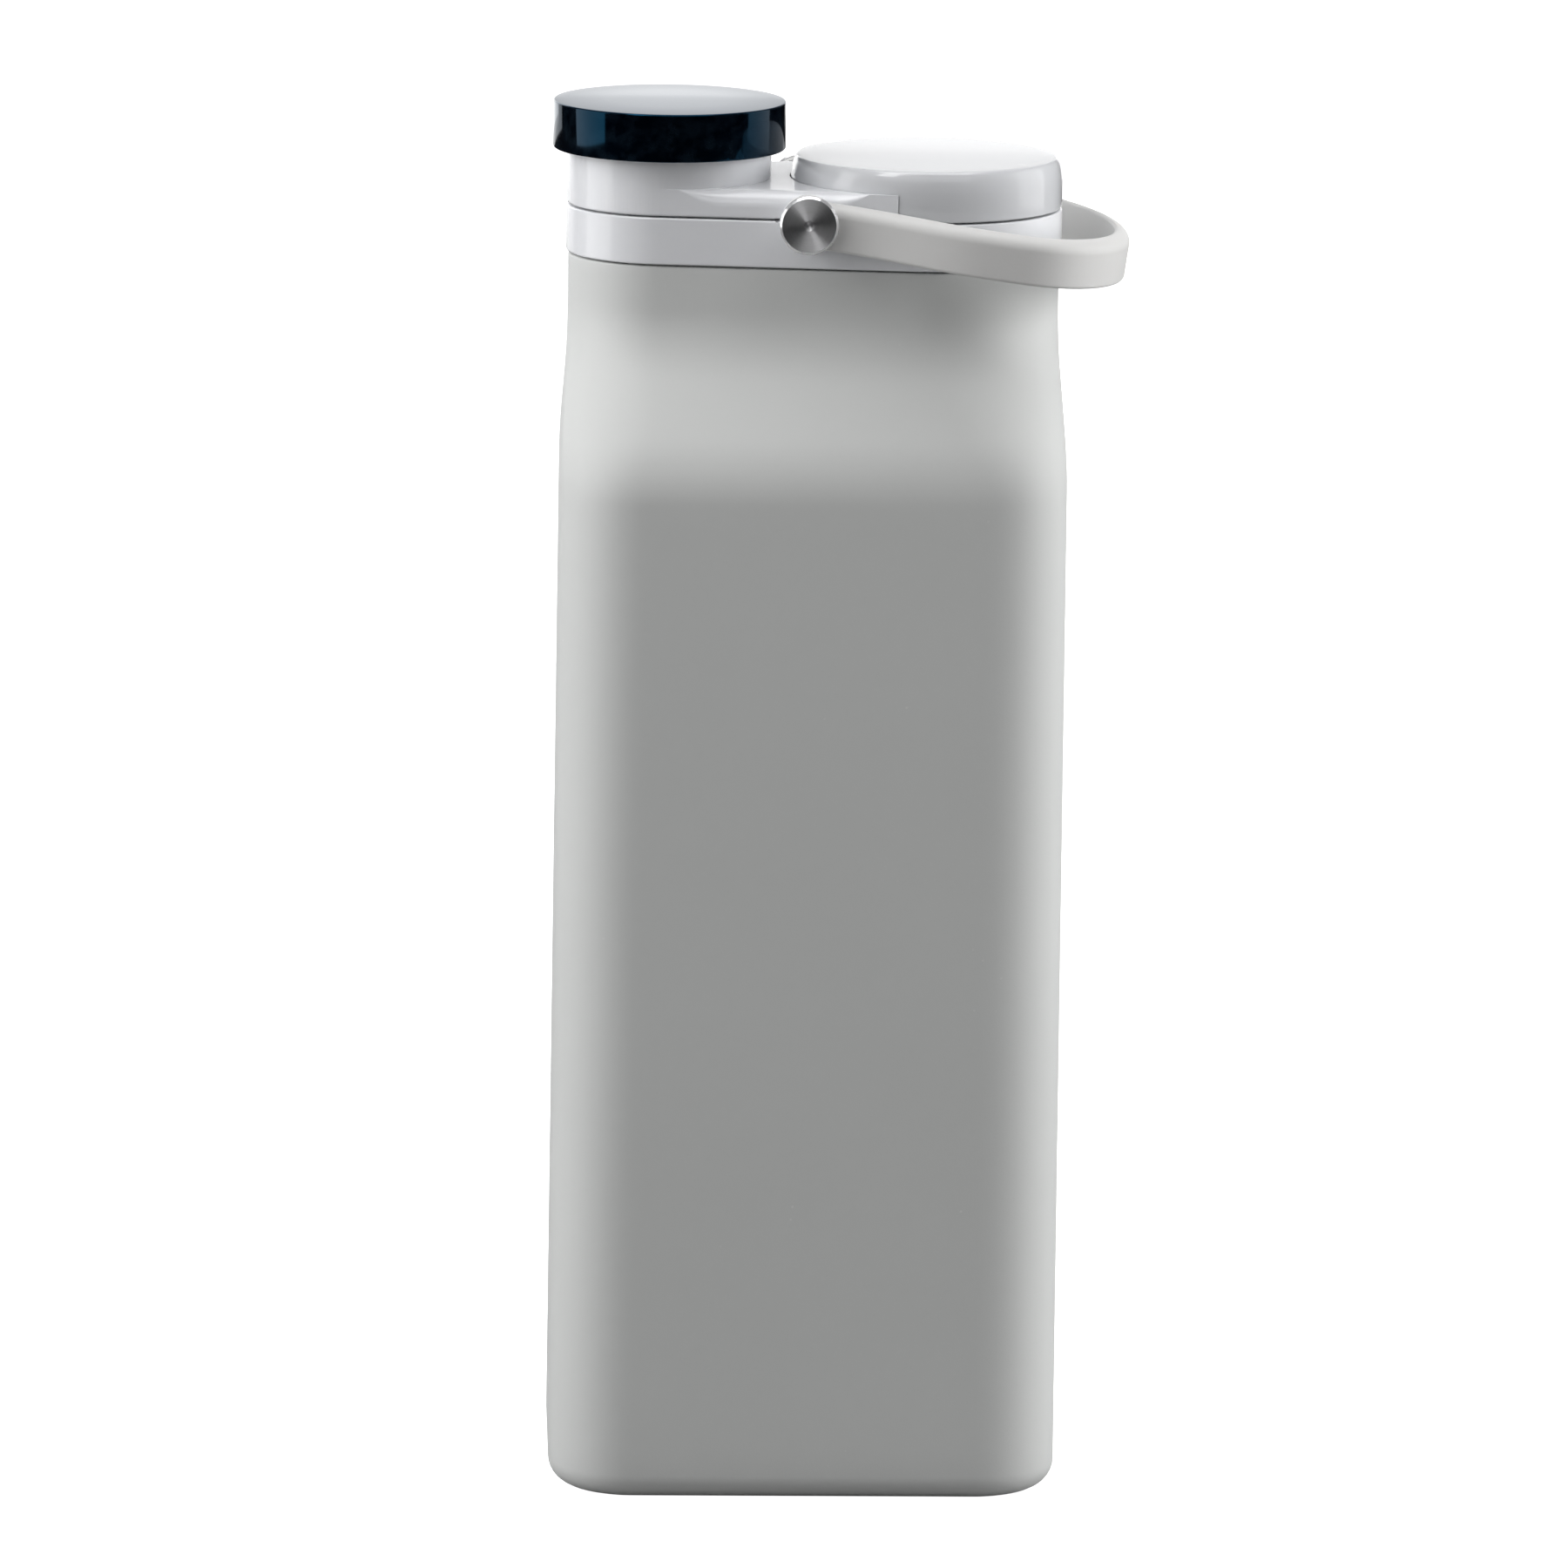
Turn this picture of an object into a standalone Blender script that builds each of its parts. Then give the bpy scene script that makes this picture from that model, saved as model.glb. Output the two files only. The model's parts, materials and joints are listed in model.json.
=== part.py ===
"""Collapsible silicone water bottle with a plastic head, two screw caps and a swinging carry strap.

Units are metres. +Z is up, the bottle stands on z = 0 with its front towards -Y, and x = 0 is the
middle of the head. Seen from above, the head is two round ends joined by straight sides: the small
left end is centred on the drinking neck, and the large right end on the filling lid.
"""
import math

import bmesh
import bpy

MM = 0.001

# Fits between pieces.
CLEARANCE = 0.3 * MM
PIVOT_GAP = 0.15 * MM
THREAD_CLEARANCE = 0.4 * MM
BLEND_STEP = 0.02 * MM
WELD = 0.001 * MM

# Head seen from above.
NECK_END_RADIUS = 15.7 * MM
LID_END_RADIUS = 20.9 * MM
CAP_OVERHANG = 2.15 * MM
CAP_SPACING = 0.85 * MM

# Soft silicone body.
BODY_HEIGHT = 191.35 * MM
BODY_TOP_WIDTH = 77.6 * MM
BODY_FOOT_WIDTH = 79.0 * MM
BODY_DEPTH = 56.0 * MM
BODY_CORNER = 13.0 * MM
BODY_WALL = 2.0 * MM
BODY_FLOOR = 2.6 * MM
BODY_FOOT_ROUND = 4.0 * MM
BODY_TUCK = 0.3 * MM
GABLE_DROP = 6.7 * MM
GABLE_HEIGHT = 28.4 * MM
GABLE_BEND = 10.0 * MM
GRIP_WALL = 1.6 * MM
GRIP_DEPTH = 6.4 * MM
GRIP_BLEND = 7.0 * MM
BASE_CUP_HEIGHT = 36.0 * MM

# Rigid collar under the caps.
BAND_HEIGHT = 7.2 * MM
BAND_WALL = 1.6 * MM
BAND_EASE = 0.25 * MM
CLAMP_WALL = 1.1 * MM
CLAMP_FLANGE = 1.2 * MM
CLAMP_DEPTH = 7.0 * MM
LIP_CLEARANCE = 0.8 * MM

# Shoulder moulding.
DECK_HEIGHT = 4.15 * MM
DECK_ROUND = 1.0 * MM
DECK_ROOF = 2.0 * MM
LID_FLOOR = 2.0 * MM
LID_POCKET_GAP = 0.35 * MM
POCKET_WALL = 2.0 * MM
SKIRT_WALL = 1.2 * MM
SNAP_HEIGHT = 1.2 * MM
SNAP_REACH = 0.5 * MM
NECK_WALL = 2.5 * MM
NECK_SHOW = 4.3 * MM
COLLAR_ENTRY = 0.6 * MM
NECK_EDGE = 0.4 * MM

# Screw caps.
DRINK_CAP_HEIGHT = 7.5 * MM
DRINK_CAP_ROUND = 0.5 * MM
DRINK_CORE_WALL = 2.0 * MM
LID_HEIGHT = 7.85 * MM
LID_ROUND = 1.3 * MM
LID_DRAFT = 0.5 * MM
LID_CORE_WALL = 1.2 * MM
CAP_WALL = 1.5 * MM
CAP_ROOF = 1.4 * MM
CORE_ROOF = 1.2 * MM
SEAL_THICKNESS = 1.0 * MM

# Strap pivots on the front and back of the head, level with the seam above the band.
PIVOT_X = -1.6 * MM
PAD_RADIUS = 3.9 * MM
PAD_STAND = 0.03 * MM
PAD_THICKNESS = 1.9 * MM
BOSS_RADIUS = 3.0 * MM
BOSS_DEPTH = 6.7 * MM
SHANK_RADIUS = 1.25 * MM
SHANK_END_GAP = 0.6 * MM
INSERT_WALL = 0.6 * MM
INSERT_DEPTH = 5.0 * MM
WASHER_THICKNESS = 0.4 * MM
WASHER_RADIUS = 3.6 * MM
BUSH_WALL = 0.8 * MM
DISC_RADIUS = 4.5 * MM
DISC_THICKNESS = 0.95 * MM
DISC_CHAMFER = 0.4 * MM
DIMPLE_RADIUS = 0.8 * MM
DIMPLE_DEPTH = 0.3 * MM

# Carry strap.
STRAP_THICKNESS = 2.6 * MM
STRAP_WIDTH = 7.1 * MM
STRAP_ROUND = 1.15 * MM
STRAP_SIDE_CLEARANCE = 4.1 * MM
STRAP_FINGER_GAP = 8.1 * MM
STRAP_BOW_LENGTH = 23.0 * MM
STRAP_END_LENGTH = 18.4 * MM
STRAP_EYE_RADIUS = 4.2 * MM
STRAP_EYE_STAND = 0.1 * MM
STRAP_DROOP = math.radians(8.0)

# Facets of the round forms.
FACET = math.radians(7.5)
HEAD_FACETS = 48
SEAL_FACETS = 36
PIVOT_FACETS = 24
BUSH_FACETS = 16
ROUND_STEPS = 3
GABLE_STEPS = 10
STRAP_ARM_STEPS = 8
STRAP_END_STEPS = 16
SMOOTH_ANGLE = math.radians(35.0)

# Places along the head that follow from the sizes above.
DRINK_CAP_RADIUS = NECK_END_RADIUS + CAP_OVERHANG
AXIS_SPACING = DRINK_CAP_RADIUS + CAP_SPACING + LID_END_RADIUS
HEAD_LENGTH = NECK_END_RADIUS + AXIS_SPACING + LID_END_RADIUS
NECK_AXIS_X = NECK_END_RADIUS - HEAD_LENGTH / 2
LID_AXIS_X = NECK_AXIS_X + AXIS_SPACING
SIDE_SLOPE = math.asin((LID_END_RADIUS - NECK_END_RADIUS) / AXIS_SPACING)

# How far each layer of the collar lies inside the head's outline.
GRIP_OUTER = BAND_WALL + CLEARANCE
GRIP_INNER = GRIP_OUTER + GRIP_WALL
CLAMP_OUTER = GRIP_INNER + CLEARANCE
CLAMP_INNER = CLAMP_OUTER + CLAMP_WALL
SKIRT_OUTER = CLAMP_INNER + CLEARANCE
SKIRT_INNER = SKIRT_OUTER + SKIRT_WALL

# Heights that follow from the sizes above.
GABLE_TOP_Z = BODY_HEIGHT - GABLE_DROP
GABLE_FOOT_Z = GABLE_TOP_Z - GABLE_HEIGHT
BAND_FOOT_Z = BODY_HEIGHT + CLEARANCE
BAND_TOP_Z = BAND_FOOT_Z + BAND_HEIGHT
DECK_FOOT_Z = BAND_TOP_Z + CLEARANCE
DECK_TOP_Z = DECK_FOOT_Z + DECK_HEIGHT
PIVOT_Z = BAND_TOP_Z + CLEARANCE / 2
LIP_TOP_Z = PIVOT_Z - BOSS_RADIUS - LIP_CLEARANCE
FLANGE_FOOT_Z = LIP_TOP_Z + CLEARANCE
FLANGE_TOP_Z = FLANGE_FOOT_Z + CLAMP_FLANGE
CLAMP_FOOT_Z = FLANGE_FOOT_Z - CLAMP_DEPTH
SNAP_TOP_Z = CLAMP_FOOT_Z - CLEARANCE
SKIRT_FOOT_Z = SNAP_TOP_Z - SNAP_HEIGHT
LEDGE_Z = FLANGE_TOP_Z + CLEARANCE
DRINK_CAP_FOOT_Z = DECK_TOP_Z + NECK_SHOW
LID_FOOT_Z = BAND_TOP_Z + CLEARANCE

# Cap stack, from the roof down to the rim of the neck.
CORE_TOP_DROP = CAP_ROOF + CLEARANCE
CORE_CEILING_DROP = CORE_TOP_DROP + CORE_ROOF
SEAL_TOP_DROP = CORE_CEILING_DROP + CLEARANCE
SEAL_FOOT_DROP = SEAL_TOP_DROP + SEAL_THICKNESS
NECK_TOP_DROP = SEAL_FOOT_DROP + CLEARANCE

# Cap radii, from the outer wall in to the bore of the neck.
DRINK_CORE_OUTER = DRINK_CAP_RADIUS - CAP_WALL - CLEARANCE
DRINK_CORE_INNER = DRINK_CORE_OUTER - DRINK_CORE_WALL
DRINK_NECK_RADIUS = DRINK_CORE_INNER - THREAD_CLEARANCE
DRINK_BORE_RADIUS = DRINK_NECK_RADIUS - NECK_WALL
LID_TOP_RADIUS = LID_END_RADIUS - LID_DRAFT
LID_CORE_OUTER = LID_TOP_RADIUS - CAP_WALL - CLEARANCE
LID_CORE_INNER = LID_CORE_OUTER - LID_CORE_WALL
FILL_NECK_RADIUS = LID_CORE_INNER - THREAD_CLEARANCE
FILL_BORE_RADIUS = FILL_NECK_RADIUS - NECK_WALL

WHITE_PLASTIC = (0.78, 0.78, 0.80)
NAVY_PLASTIC = (0.006, 0.030, 0.062)
GREY_SILICONE = (0.54, 0.55, 0.54)
STRAP_SILICONE = (0.62, 0.61, 0.58)
CLEAR_SILICONE = (0.72, 0.74, 0.75)
STEEL = (0.60, 0.60, 0.61)
BRASS = (0.70, 0.52, 0.27)
NYLON = (0.80, 0.79, 0.75)


def clear_scene():
    """Remove every object that the file starts with."""
    for item in list(bpy.data.objects):
        bpy.data.objects.remove(item, do_unlink=True)


def give_finish(piece, colour, roughness, metallic=0.0):
    """Give a piece its own material."""
    material = bpy.data.materials.new(piece.name + "_finish")
    material.use_nodes = True
    shader = material.node_tree.nodes["Principled BSDF"]
    shader.inputs["Base Color"].default_value = (*colour, 1.0)
    shader.inputs["Roughness"].default_value = roughness
    shader.inputs["Metallic"].default_value = metallic
    piece.data.materials.append(material)


def object_from(name, bm):
    """Turn a finished bmesh into a scene object with smooth round faces and sharp edges."""
    bmesh.ops.recalc_face_normals(bm, faces=bm.faces)
    mesh = bpy.data.meshes.new(name)
    bm.to_mesh(mesh)
    bm.free()
    mesh.shade_smooth()
    mesh.set_sharp_from_angle(angle=SMOOTH_ANGLE)
    piece = bpy.data.objects.new(name, mesh)
    bpy.context.scene.collection.objects.link(piece)
    return piece


def turned(name, profile, facets, ring=False):
    """Turn (radius, height) points about the local Z axis; a ring's profile closes on itself."""
    bm = bmesh.new()
    points = [bm.verts.new((radius, 0.0, height)) for radius, height in profile]
    pairs = list(zip(points, points[1:]))
    if ring:
        pairs.append((points[-1], points[0]))
    edges = [bm.edges.new(pair) for pair in pairs]
    bmesh.ops.spin(
        bm, geom=points + edges, cent=(0, 0, 0), axis=(0, 0, 1), angle=math.tau, steps=facets, use_merge=True
    )
    bmesh.ops.remove_doubles(bm, verts=bm.verts, dist=WELD)
    return object_from(name, bm)


def lofted(name, rings, ring=False):
    """Skin a stack of rings with equal counts; a ring's stack closes on itself, others get end faces."""
    bm = bmesh.new()
    loops = [[bm.verts.new(point) for point in points] for points in rings]
    pairs = list(zip(loops, loops[1:]))
    if ring:
        pairs.append((loops[-1], loops[0]))
    else:
        bm.faces.new(loops[0])
        bm.faces.new(loops[-1])
    for lower, upper in pairs:
        for index in range(len(lower)):
            after = (index + 1) % len(lower)
            bm.faces.new((lower[index], lower[after], upper[after], upper[index]))
    return object_from(name, bm)


def combine(target, tool, operation):
    """Cut a hidden tool out of a piece, or fuse it on; both are closed, which this solver needs."""
    tool.hide_render = True
    tool.display_type = "WIRE"
    step = target.modifiers.new(operation.lower() + "_" + tool.name, "BOOLEAN")
    step.operation = operation
    step.solver = "MANIFOLD"
    step.object = tool


def cut(target, tool):
    combine(target, tool, "DIFFERENCE")


def fuse(target, tool):
    combine(target, tool, "UNION")


def face_out(piece, side):
    """Lay a turned piece on a strap pivot's axis, its local Z pointing out of that side."""
    piece.rotation_euler = (-side * math.pi / 2, 0.0, 0.0)
    piece.location = (PIVOT_X, 0.0, PIVOT_Z)


def smooth_step(share):
    """Ease from 0 to 1 with no corner at either end."""
    share = min(1.0, max(0.0, share))
    return share * share * (3.0 - 2.0 * share)


def arc_angles(start, end):
    """Angles from start to end that fall on whole facets between the two."""
    angles = [start]
    angle = (math.floor(start / FACET + 0.01) + 1) * FACET
    while angle < end - 0.3 * FACET:
        angles.append(angle)
        angle += FACET
    angles.append(end)
    return angles


def spread(count, start, end):
    """Equal steps from start to end."""
    return [start + (end - start) * index / (count - 1) for index in range(count)]


def arc(centre_x, centre_y, radius, angles):
    return [(centre_x + radius * math.cos(a), centre_y + radius * math.sin(a)) for a in angles]


def whole_outline(right_tip, back_half, left_tip):
    """Close an outline with the mirror image of its back half."""
    front_half = [(x, -y) for x, y in reversed(back_half)]
    return [(right_tip, 0.0)] + back_half + [(left_tip, 0.0)] + front_half


def head_angles():
    """Angles of the right and the left round end, from tip to straight side and on to tip."""
    tangent = math.pi / 2 + SIDE_SLOPE
    return arc_angles(FACET, tangent), arc_angles(tangent, math.pi - FACET)


def head_outline(inset):
    """The head seen from above, drawn in by an inset."""
    right_angles, left_angles = head_angles()
    right = LID_END_RADIUS - inset
    left = NECK_END_RADIUS - inset
    back_half = arc(LID_AXIS_X, 0.0, right, right_angles) + arc(NECK_AXIS_X, 0.0, left, left_angles)
    return whole_outline(LID_AXIS_X + right, back_half, NECK_AXIS_X - left)


def box_outline(width, inset):
    """The body seen from above: a rounded rectangle with as many points as the head's outline."""
    right_angles, left_angles = head_angles()
    centre_x = width / 2 - BODY_CORNER
    centre_y = BODY_DEPTH / 2 - BODY_CORNER
    radius = BODY_CORNER - inset
    right = arc(centre_x, centre_y, radius, spread(len(right_angles), 0.0, math.pi / 2))
    left = arc(-centre_x, centre_y, radius, spread(len(left_angles), math.pi / 2, math.pi))
    return whole_outline(width / 2 - inset, right + left, inset - width / 2)


def at_height(outline, z):
    return [(x, y, z) for x, y in outline]


def head_ring(inset, z):
    return at_height(head_outline(inset), z)


def head_rings(profile):
    """Rings round the head for a profile of (inset, height) points."""
    return [head_ring(inset, z) for inset, z in profile]


def box_share_at(z):
    """Share of the box shape in the body at a height: a straight slope between two round bends."""
    drop = min(GABLE_HEIGHT, max(0.0, GABLE_TOP_Z - z))
    run = GABLE_HEIGHT - GABLE_BEND
    if drop < GABLE_BEND:
        return drop * drop / (2.0 * GABLE_BEND * run)
    if drop > run:
        rest = GABLE_HEIGHT - drop
        return 1.0 - rest * rest / (2.0 * GABLE_BEND * run)
    return (drop - GABLE_BEND / 2) / run


def body_ring(z, inset):
    """The silicone body at a height: the box shape, easing through the gable to the head's outline."""
    width = BODY_FOOT_WIDTH + (BODY_TOP_WIDTH - BODY_FOOT_WIDTH) * min(1.0, z / GABLE_FOOT_Z)
    box_share = box_share_at(z)
    box = box_outline(width, inset)
    head = head_outline(BODY_TUCK + inset)
    mixed = []
    for (box_x, box_y), (head_x, head_y) in zip(box, head):
        x = box_x * box_share + head_x * (1.0 - box_share)
        y = box_y * box_share + head_y * (1.0 - box_share)
        mixed.append((x, y))
    return at_height(mixed, z)


def body_wall_at(z):
    """Wall of the body, thickened near the top where the collar grips it."""
    grip_foot = BODY_HEIGHT - GRIP_DEPTH
    grip = smooth_step((z - grip_foot + GRIP_BLEND) / GRIP_BLEND)
    return BODY_WALL + (GRIP_INNER - BODY_TUCK - BODY_WALL) * grip


def round_over(inset, z, radius, steps):
    """Profile points of a rounded top edge, from the side of a wall to its top face."""
    angles = spread(steps + 1, 0.0, math.pi / 2)
    return [(inset + radius * (1.0 - math.cos(a)), z - radius + radius * math.sin(a)) for a in angles]


def silicone_sleeve():
    """Upper part of the soft body: straight wall, gable and the thick lip inside the collar."""
    gable_heights = spread(GABLE_STEPS + 1, GABLE_FOOT_Z, GABLE_TOP_Z)
    low_heights = [BASE_CUP_HEIGHT + CLEARANCE, (BASE_CUP_HEIGHT + GABLE_FOOT_Z) / 2]
    outer = [body_ring(z, 0.0) for z in low_heights + gable_heights + [BODY_HEIGHT]]
    lip = head_rings([
        (GRIP_OUTER, BODY_HEIGHT),
        (GRIP_OUTER, LIP_TOP_Z - CLEARANCE),
        (GRIP_OUTER + CLEARANCE, LIP_TOP_Z),
        (GRIP_INNER, LIP_TOP_Z),
    ])
    grip_foot = BODY_HEIGHT - GRIP_DEPTH
    inner_heights = [grip_foot]
    inner_heights += [z for z in reversed(gable_heights) if z < grip_foot - WELD]
    inner_heights += list(reversed(low_heights))
    inner = [body_ring(z, body_wall_at(z)) for z in inner_heights]
    piece = lofted("silicone_sleeve", outer + lip + inner, ring=True)
    give_finish(piece, GREY_SILICONE, 0.55)


def silicone_base():
    """Foot of the soft body: a cup with a flat floor and rounded lower edges."""
    angles = spread(ROUND_STEPS + 2, 0.0, math.pi / 2)
    outer = []
    for angle in angles:
        inset = BODY_FOOT_ROUND * (1.0 - math.sin(angle))
        outer.append(body_ring(BODY_FOOT_ROUND * (1.0 - math.cos(angle)), inset))
    outer.append(body_ring(BASE_CUP_HEIGHT, 0.0))
    inner = [body_ring(BASE_CUP_HEIGHT, BODY_WALL)]
    for angle in reversed(angles):
        inset = BODY_WALL + BODY_FOOT_ROUND * (1.0 - math.sin(angle))
        inner.append(body_ring(BODY_FLOOR + BODY_FOOT_ROUND * (1.0 - math.cos(angle)), inset))
    piece = lofted("silicone_base", outer + inner)
    give_finish(piece, GREY_SILICONE, 0.55)


def pivot_tool(name, radius, near, far):
    """A plain cylinder along the strap's pivot axis, between two distances from the middle plane."""
    return turned(name, [(0.0, near), (radius, near), (radius, far), (0.0, far)], PIVOT_FACETS)


def pad_notch(name, radius):
    """A cylinder that passes through the front and back walls at the strap pivots."""
    reach = PAD_FACE + PAD_THICKNESS
    tool = pivot_tool(name, radius, -reach, reach)
    face_out(tool, 1)
    return tool


def collar_band():
    """Glossy outer band that squeezes the silicone lip from outside, notched for the pivot pads."""
    profile = [
        (BAND_EASE, BAND_FOOT_Z),
        (0.0, BAND_FOOT_Z + BAND_EASE),
        (0.0, BAND_TOP_Z - BAND_EASE),
        (BAND_EASE, BAND_TOP_Z),
        (BAND_WALL, BAND_TOP_Z),
        (BAND_WALL, BAND_FOOT_Z),
    ]
    piece = lofted("collar_band", head_rings(profile), ring=True)
    cut(piece, pad_notch("band_notch", PAD_RADIUS + CLEARANCE))
    give_finish(piece, WHITE_PLASTIC, 0.16)


def clamp_ring():
    """Inner ring with a flange over the silicone lip, which backs the lip against the band."""
    profile = [
        (CLAMP_OUTER, CLAMP_FOOT_Z),
        (CLAMP_OUTER, FLANGE_FOOT_Z),
        (GRIP_OUTER, FLANGE_FOOT_Z),
        (GRIP_OUTER, FLANGE_TOP_Z),
        (CLAMP_INNER, FLANGE_TOP_Z),
        (CLAMP_INNER, CLAMP_FOOT_Z),
    ]
    piece = lofted("clamp_ring", head_rings(profile), ring=True)
    cut(piece, pad_notch("clamp_notch", BOSS_RADIUS + LIP_CLEARANCE))
    give_finish(piece, WHITE_PLASTIC, 0.35)


def side_depth(x):
    """Half the head's depth on its straight side, at a place along X."""
    along = (x - NECK_AXIS_X) * math.sin(SIDE_SLOPE)
    return (NECK_END_RADIUS + along) / math.cos(SIDE_SLOPE)


# Distances from the middle plane out along the pivot axis.
PAD_FACE = side_depth(PIVOT_X + PAD_RADIUS) + PAD_STAND
WASHER_FOOT = PAD_FACE + PIVOT_GAP
WASHER_FACE = WASHER_FOOT + WASHER_THICKNESS
EYE_FOOT = WASHER_FACE + PIVOT_GAP
STRAP_FOOT = EYE_FOOT + STRAP_EYE_STAND
STRAP_FACE = STRAP_FOOT + STRAP_THICKNESS
EYE_FACE = STRAP_FACE + STRAP_EYE_STAND
DISC_FOOT = EYE_FACE + PIVOT_GAP
DISC_FACE = DISC_FOOT + DISC_THICKNESS
INSERT_RADIUS = SHANK_RADIUS + PIVOT_GAP + INSERT_WALL
INSERT_HOLE_RADIUS = INSERT_RADIUS + PIVOT_GAP
BUSH_OUTER = SHANK_RADIUS + PIVOT_GAP + BUSH_WALL
EYE_HOLE_RADIUS = BUSH_OUTER + PIVOT_GAP
STRAP_HALF_DEPTH = LID_END_RADIUS + STRAP_SIDE_CLEARANCE + STRAP_THICKNESS
STRAP_REACH = HEAD_LENGTH / 2 - PIVOT_X + STRAP_FINGER_GAP + STRAP_THICKNESS


def shoulder_shell():
    """Skirt, ledge and raised deck of the shoulder as one loft, before its caps' seats are cut."""
    snap_inset = CLAMP_INNER - SNAP_REACH
    profile = [
        (SKIRT_OUTER, SKIRT_FOOT_Z),
        (snap_inset, SNAP_TOP_Z - SNAP_REACH),
        (snap_inset, SNAP_TOP_Z),
        (SKIRT_OUTER, SNAP_TOP_Z),
        (SKIRT_OUTER, LEDGE_Z),
        (GRIP_OUTER, LEDGE_Z),
        (GRIP_OUTER, DECK_FOOT_Z),
        (BAND_EASE, DECK_FOOT_Z),
        (0.0, DECK_FOOT_Z + BAND_EASE),
    ]
    profile += round_over(0.0, DECK_TOP_Z, DECK_ROUND, ROUND_STEPS)
    return lofted("shoulder", head_rings(profile))


def pivot_boss(side):
    """Pad and buried boss that carry a strap pivot."""
    pad_foot = PAD_FACE - PAD_THICKNESS
    boss_end = PAD_FACE - BOSS_DEPTH
    profile = [
        (0.0, boss_end),
        (BOSS_RADIUS, boss_end),
        (BOSS_RADIUS, pad_foot),
        (PAD_RADIUS, pad_foot),
        (PAD_RADIUS, PAD_FACE),
        (0.0, PAD_FACE),
    ]
    tool = turned("boss_" + side_name(side), profile, PIVOT_FACETS)
    face_out(tool, side)
    return tool


def side_name(side):
    return "front" if side < 0 else "back"


def standing_tool(name, radius, axis_x, low, high):
    """An upright cylinder on the drinking neck's or the lid's axis."""
    tool = turned(name, [(0.0, low), (radius, low), (radius, high), (0.0, high)], HEAD_FACETS)
    tool.location.x = axis_x
    return tool


def drink_neck():
    """Round drinking neck: a collar flush with the shoulder's left end, then the threaded spout."""
    collar_radius = NECK_END_RADIUS - BLEND_STEP
    collar_top = DRINK_CAP_FOOT_Z + COLLAR_ENTRY
    neck_top = DRINK_CAP_FOOT_Z + DRINK_CAP_HEIGHT - NECK_TOP_DROP
    profile = [
        (0.0, DECK_TOP_Z - DECK_ROUND - BLEND_STEP),
        (collar_radius, DECK_TOP_Z - DECK_ROUND - BLEND_STEP),
        (collar_radius, collar_top - NECK_EDGE),
        (collar_radius - NECK_EDGE, collar_top),
        (DRINK_NECK_RADIUS, collar_top),
        (DRINK_NECK_RADIUS, neck_top - NECK_EDGE),
        (DRINK_NECK_RADIUS - NECK_EDGE, neck_top),
        (0.0, neck_top),
    ]
    tool = turned("drink_neck", profile, HEAD_FACETS)
    tool.location.x = NECK_AXIS_X
    return tool


def fill_neck():
    """Wide filling neck that stands in the lid's round seat."""
    neck_top = LID_FOOT_Z + LID_HEIGHT - NECK_TOP_DROP
    root = BAND_TOP_Z - LID_FLOOR / 2
    profile = [
        (0.0, root),
        (FILL_NECK_RADIUS, root),
        (FILL_NECK_RADIUS, neck_top - NECK_EDGE),
        (FILL_NECK_RADIUS - NECK_EDGE, neck_top),
        (0.0, neck_top),
    ]
    tool = turned("fill_neck", profile, HEAD_FACETS)
    tool.location.x = LID_AXIS_X
    return tool


def skirt_hollow(name, inset, low, high):
    """A space of the head's own outline, between two heights."""
    return lofted(name, head_rings([(inset, low), (inset, high)]))


def deck_hollow():
    """The space under the raised deck, kept clear of the wall round the lid's seat."""
    tool = skirt_hollow("deck_hollow", SKIRT_INNER + CLEARANCE, LEDGE_Z - LID_FLOOR, DECK_TOP_Z - DECK_ROOF)
    seat_wall = LID_END_RADIUS + LID_POCKET_GAP + POCKET_WALL
    cut(tool, standing_tool("seat_wall", seat_wall, LID_AXIS_X, SKIRT_FOOT_Z, DECK_TOP_Z))
    return tool


def shoulder():
    """The moulded head: deck, two necks, the lid's round seat, snap skirt and pivot bosses."""
    piece = shoulder_shell()
    sides = (-1, 1)
    fuse(piece, drink_neck())
    for side in sides:
        fuse(piece, pivot_boss(side))
    pocket_radius = LID_END_RADIUS + LID_POCKET_GAP
    cut(piece, standing_tool("lid_seat", pocket_radius, LID_AXIS_X, BAND_TOP_Z, DECK_TOP_Z + DECK_HEIGHT))
    fuse(piece, fill_neck())
    cut(piece, skirt_hollow("throat", SKIRT_INNER, SKIRT_FOOT_Z - SNAP_HEIGHT, BAND_TOP_Z - LID_FLOOR))
    cut(piece, deck_hollow())
    high = DRINK_CAP_FOOT_Z + DRINK_CAP_HEIGHT
    cut(piece, standing_tool("drink_bore", DRINK_BORE_RADIUS, NECK_AXIS_X, LEDGE_Z + DECK_ROOF, high))
    cut(piece, standing_tool("fill_bore", FILL_BORE_RADIUS, LID_AXIS_X, LEDGE_Z - LID_FLOOR, high))
    for side in sides:
        hole = pivot_tool(
            "insert_hole_" + side_name(side), INSERT_HOLE_RADIUS, PAD_FACE - INSERT_DEPTH - PIVOT_GAP, DISC_FACE
        )
        face_out(hole, side)
        cut(piece, hole)
    give_finish(piece, WHITE_PLASTIC, 0.16)


def cap_shell(name, foot_radius, top_radius, height, edge_round):
    """Outer shell of a screw cap: a plain round cup, mouth down, with a rounded top edge."""
    rim = round_over(0.0, height, edge_round, ROUND_STEPS)
    profile = [
        (0.0, height - CAP_ROOF),
        (top_radius - CAP_WALL, height - CAP_ROOF),
        (foot_radius - CAP_WALL, 0.0),
        (foot_radius - BAND_EASE, 0.0),
        (foot_radius, BAND_EASE),
    ]
    profile += [(top_radius - inset, z) for inset, z in rim]
    profile.append((0.0, height))
    return turned(name, profile, HEAD_FACETS)


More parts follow.
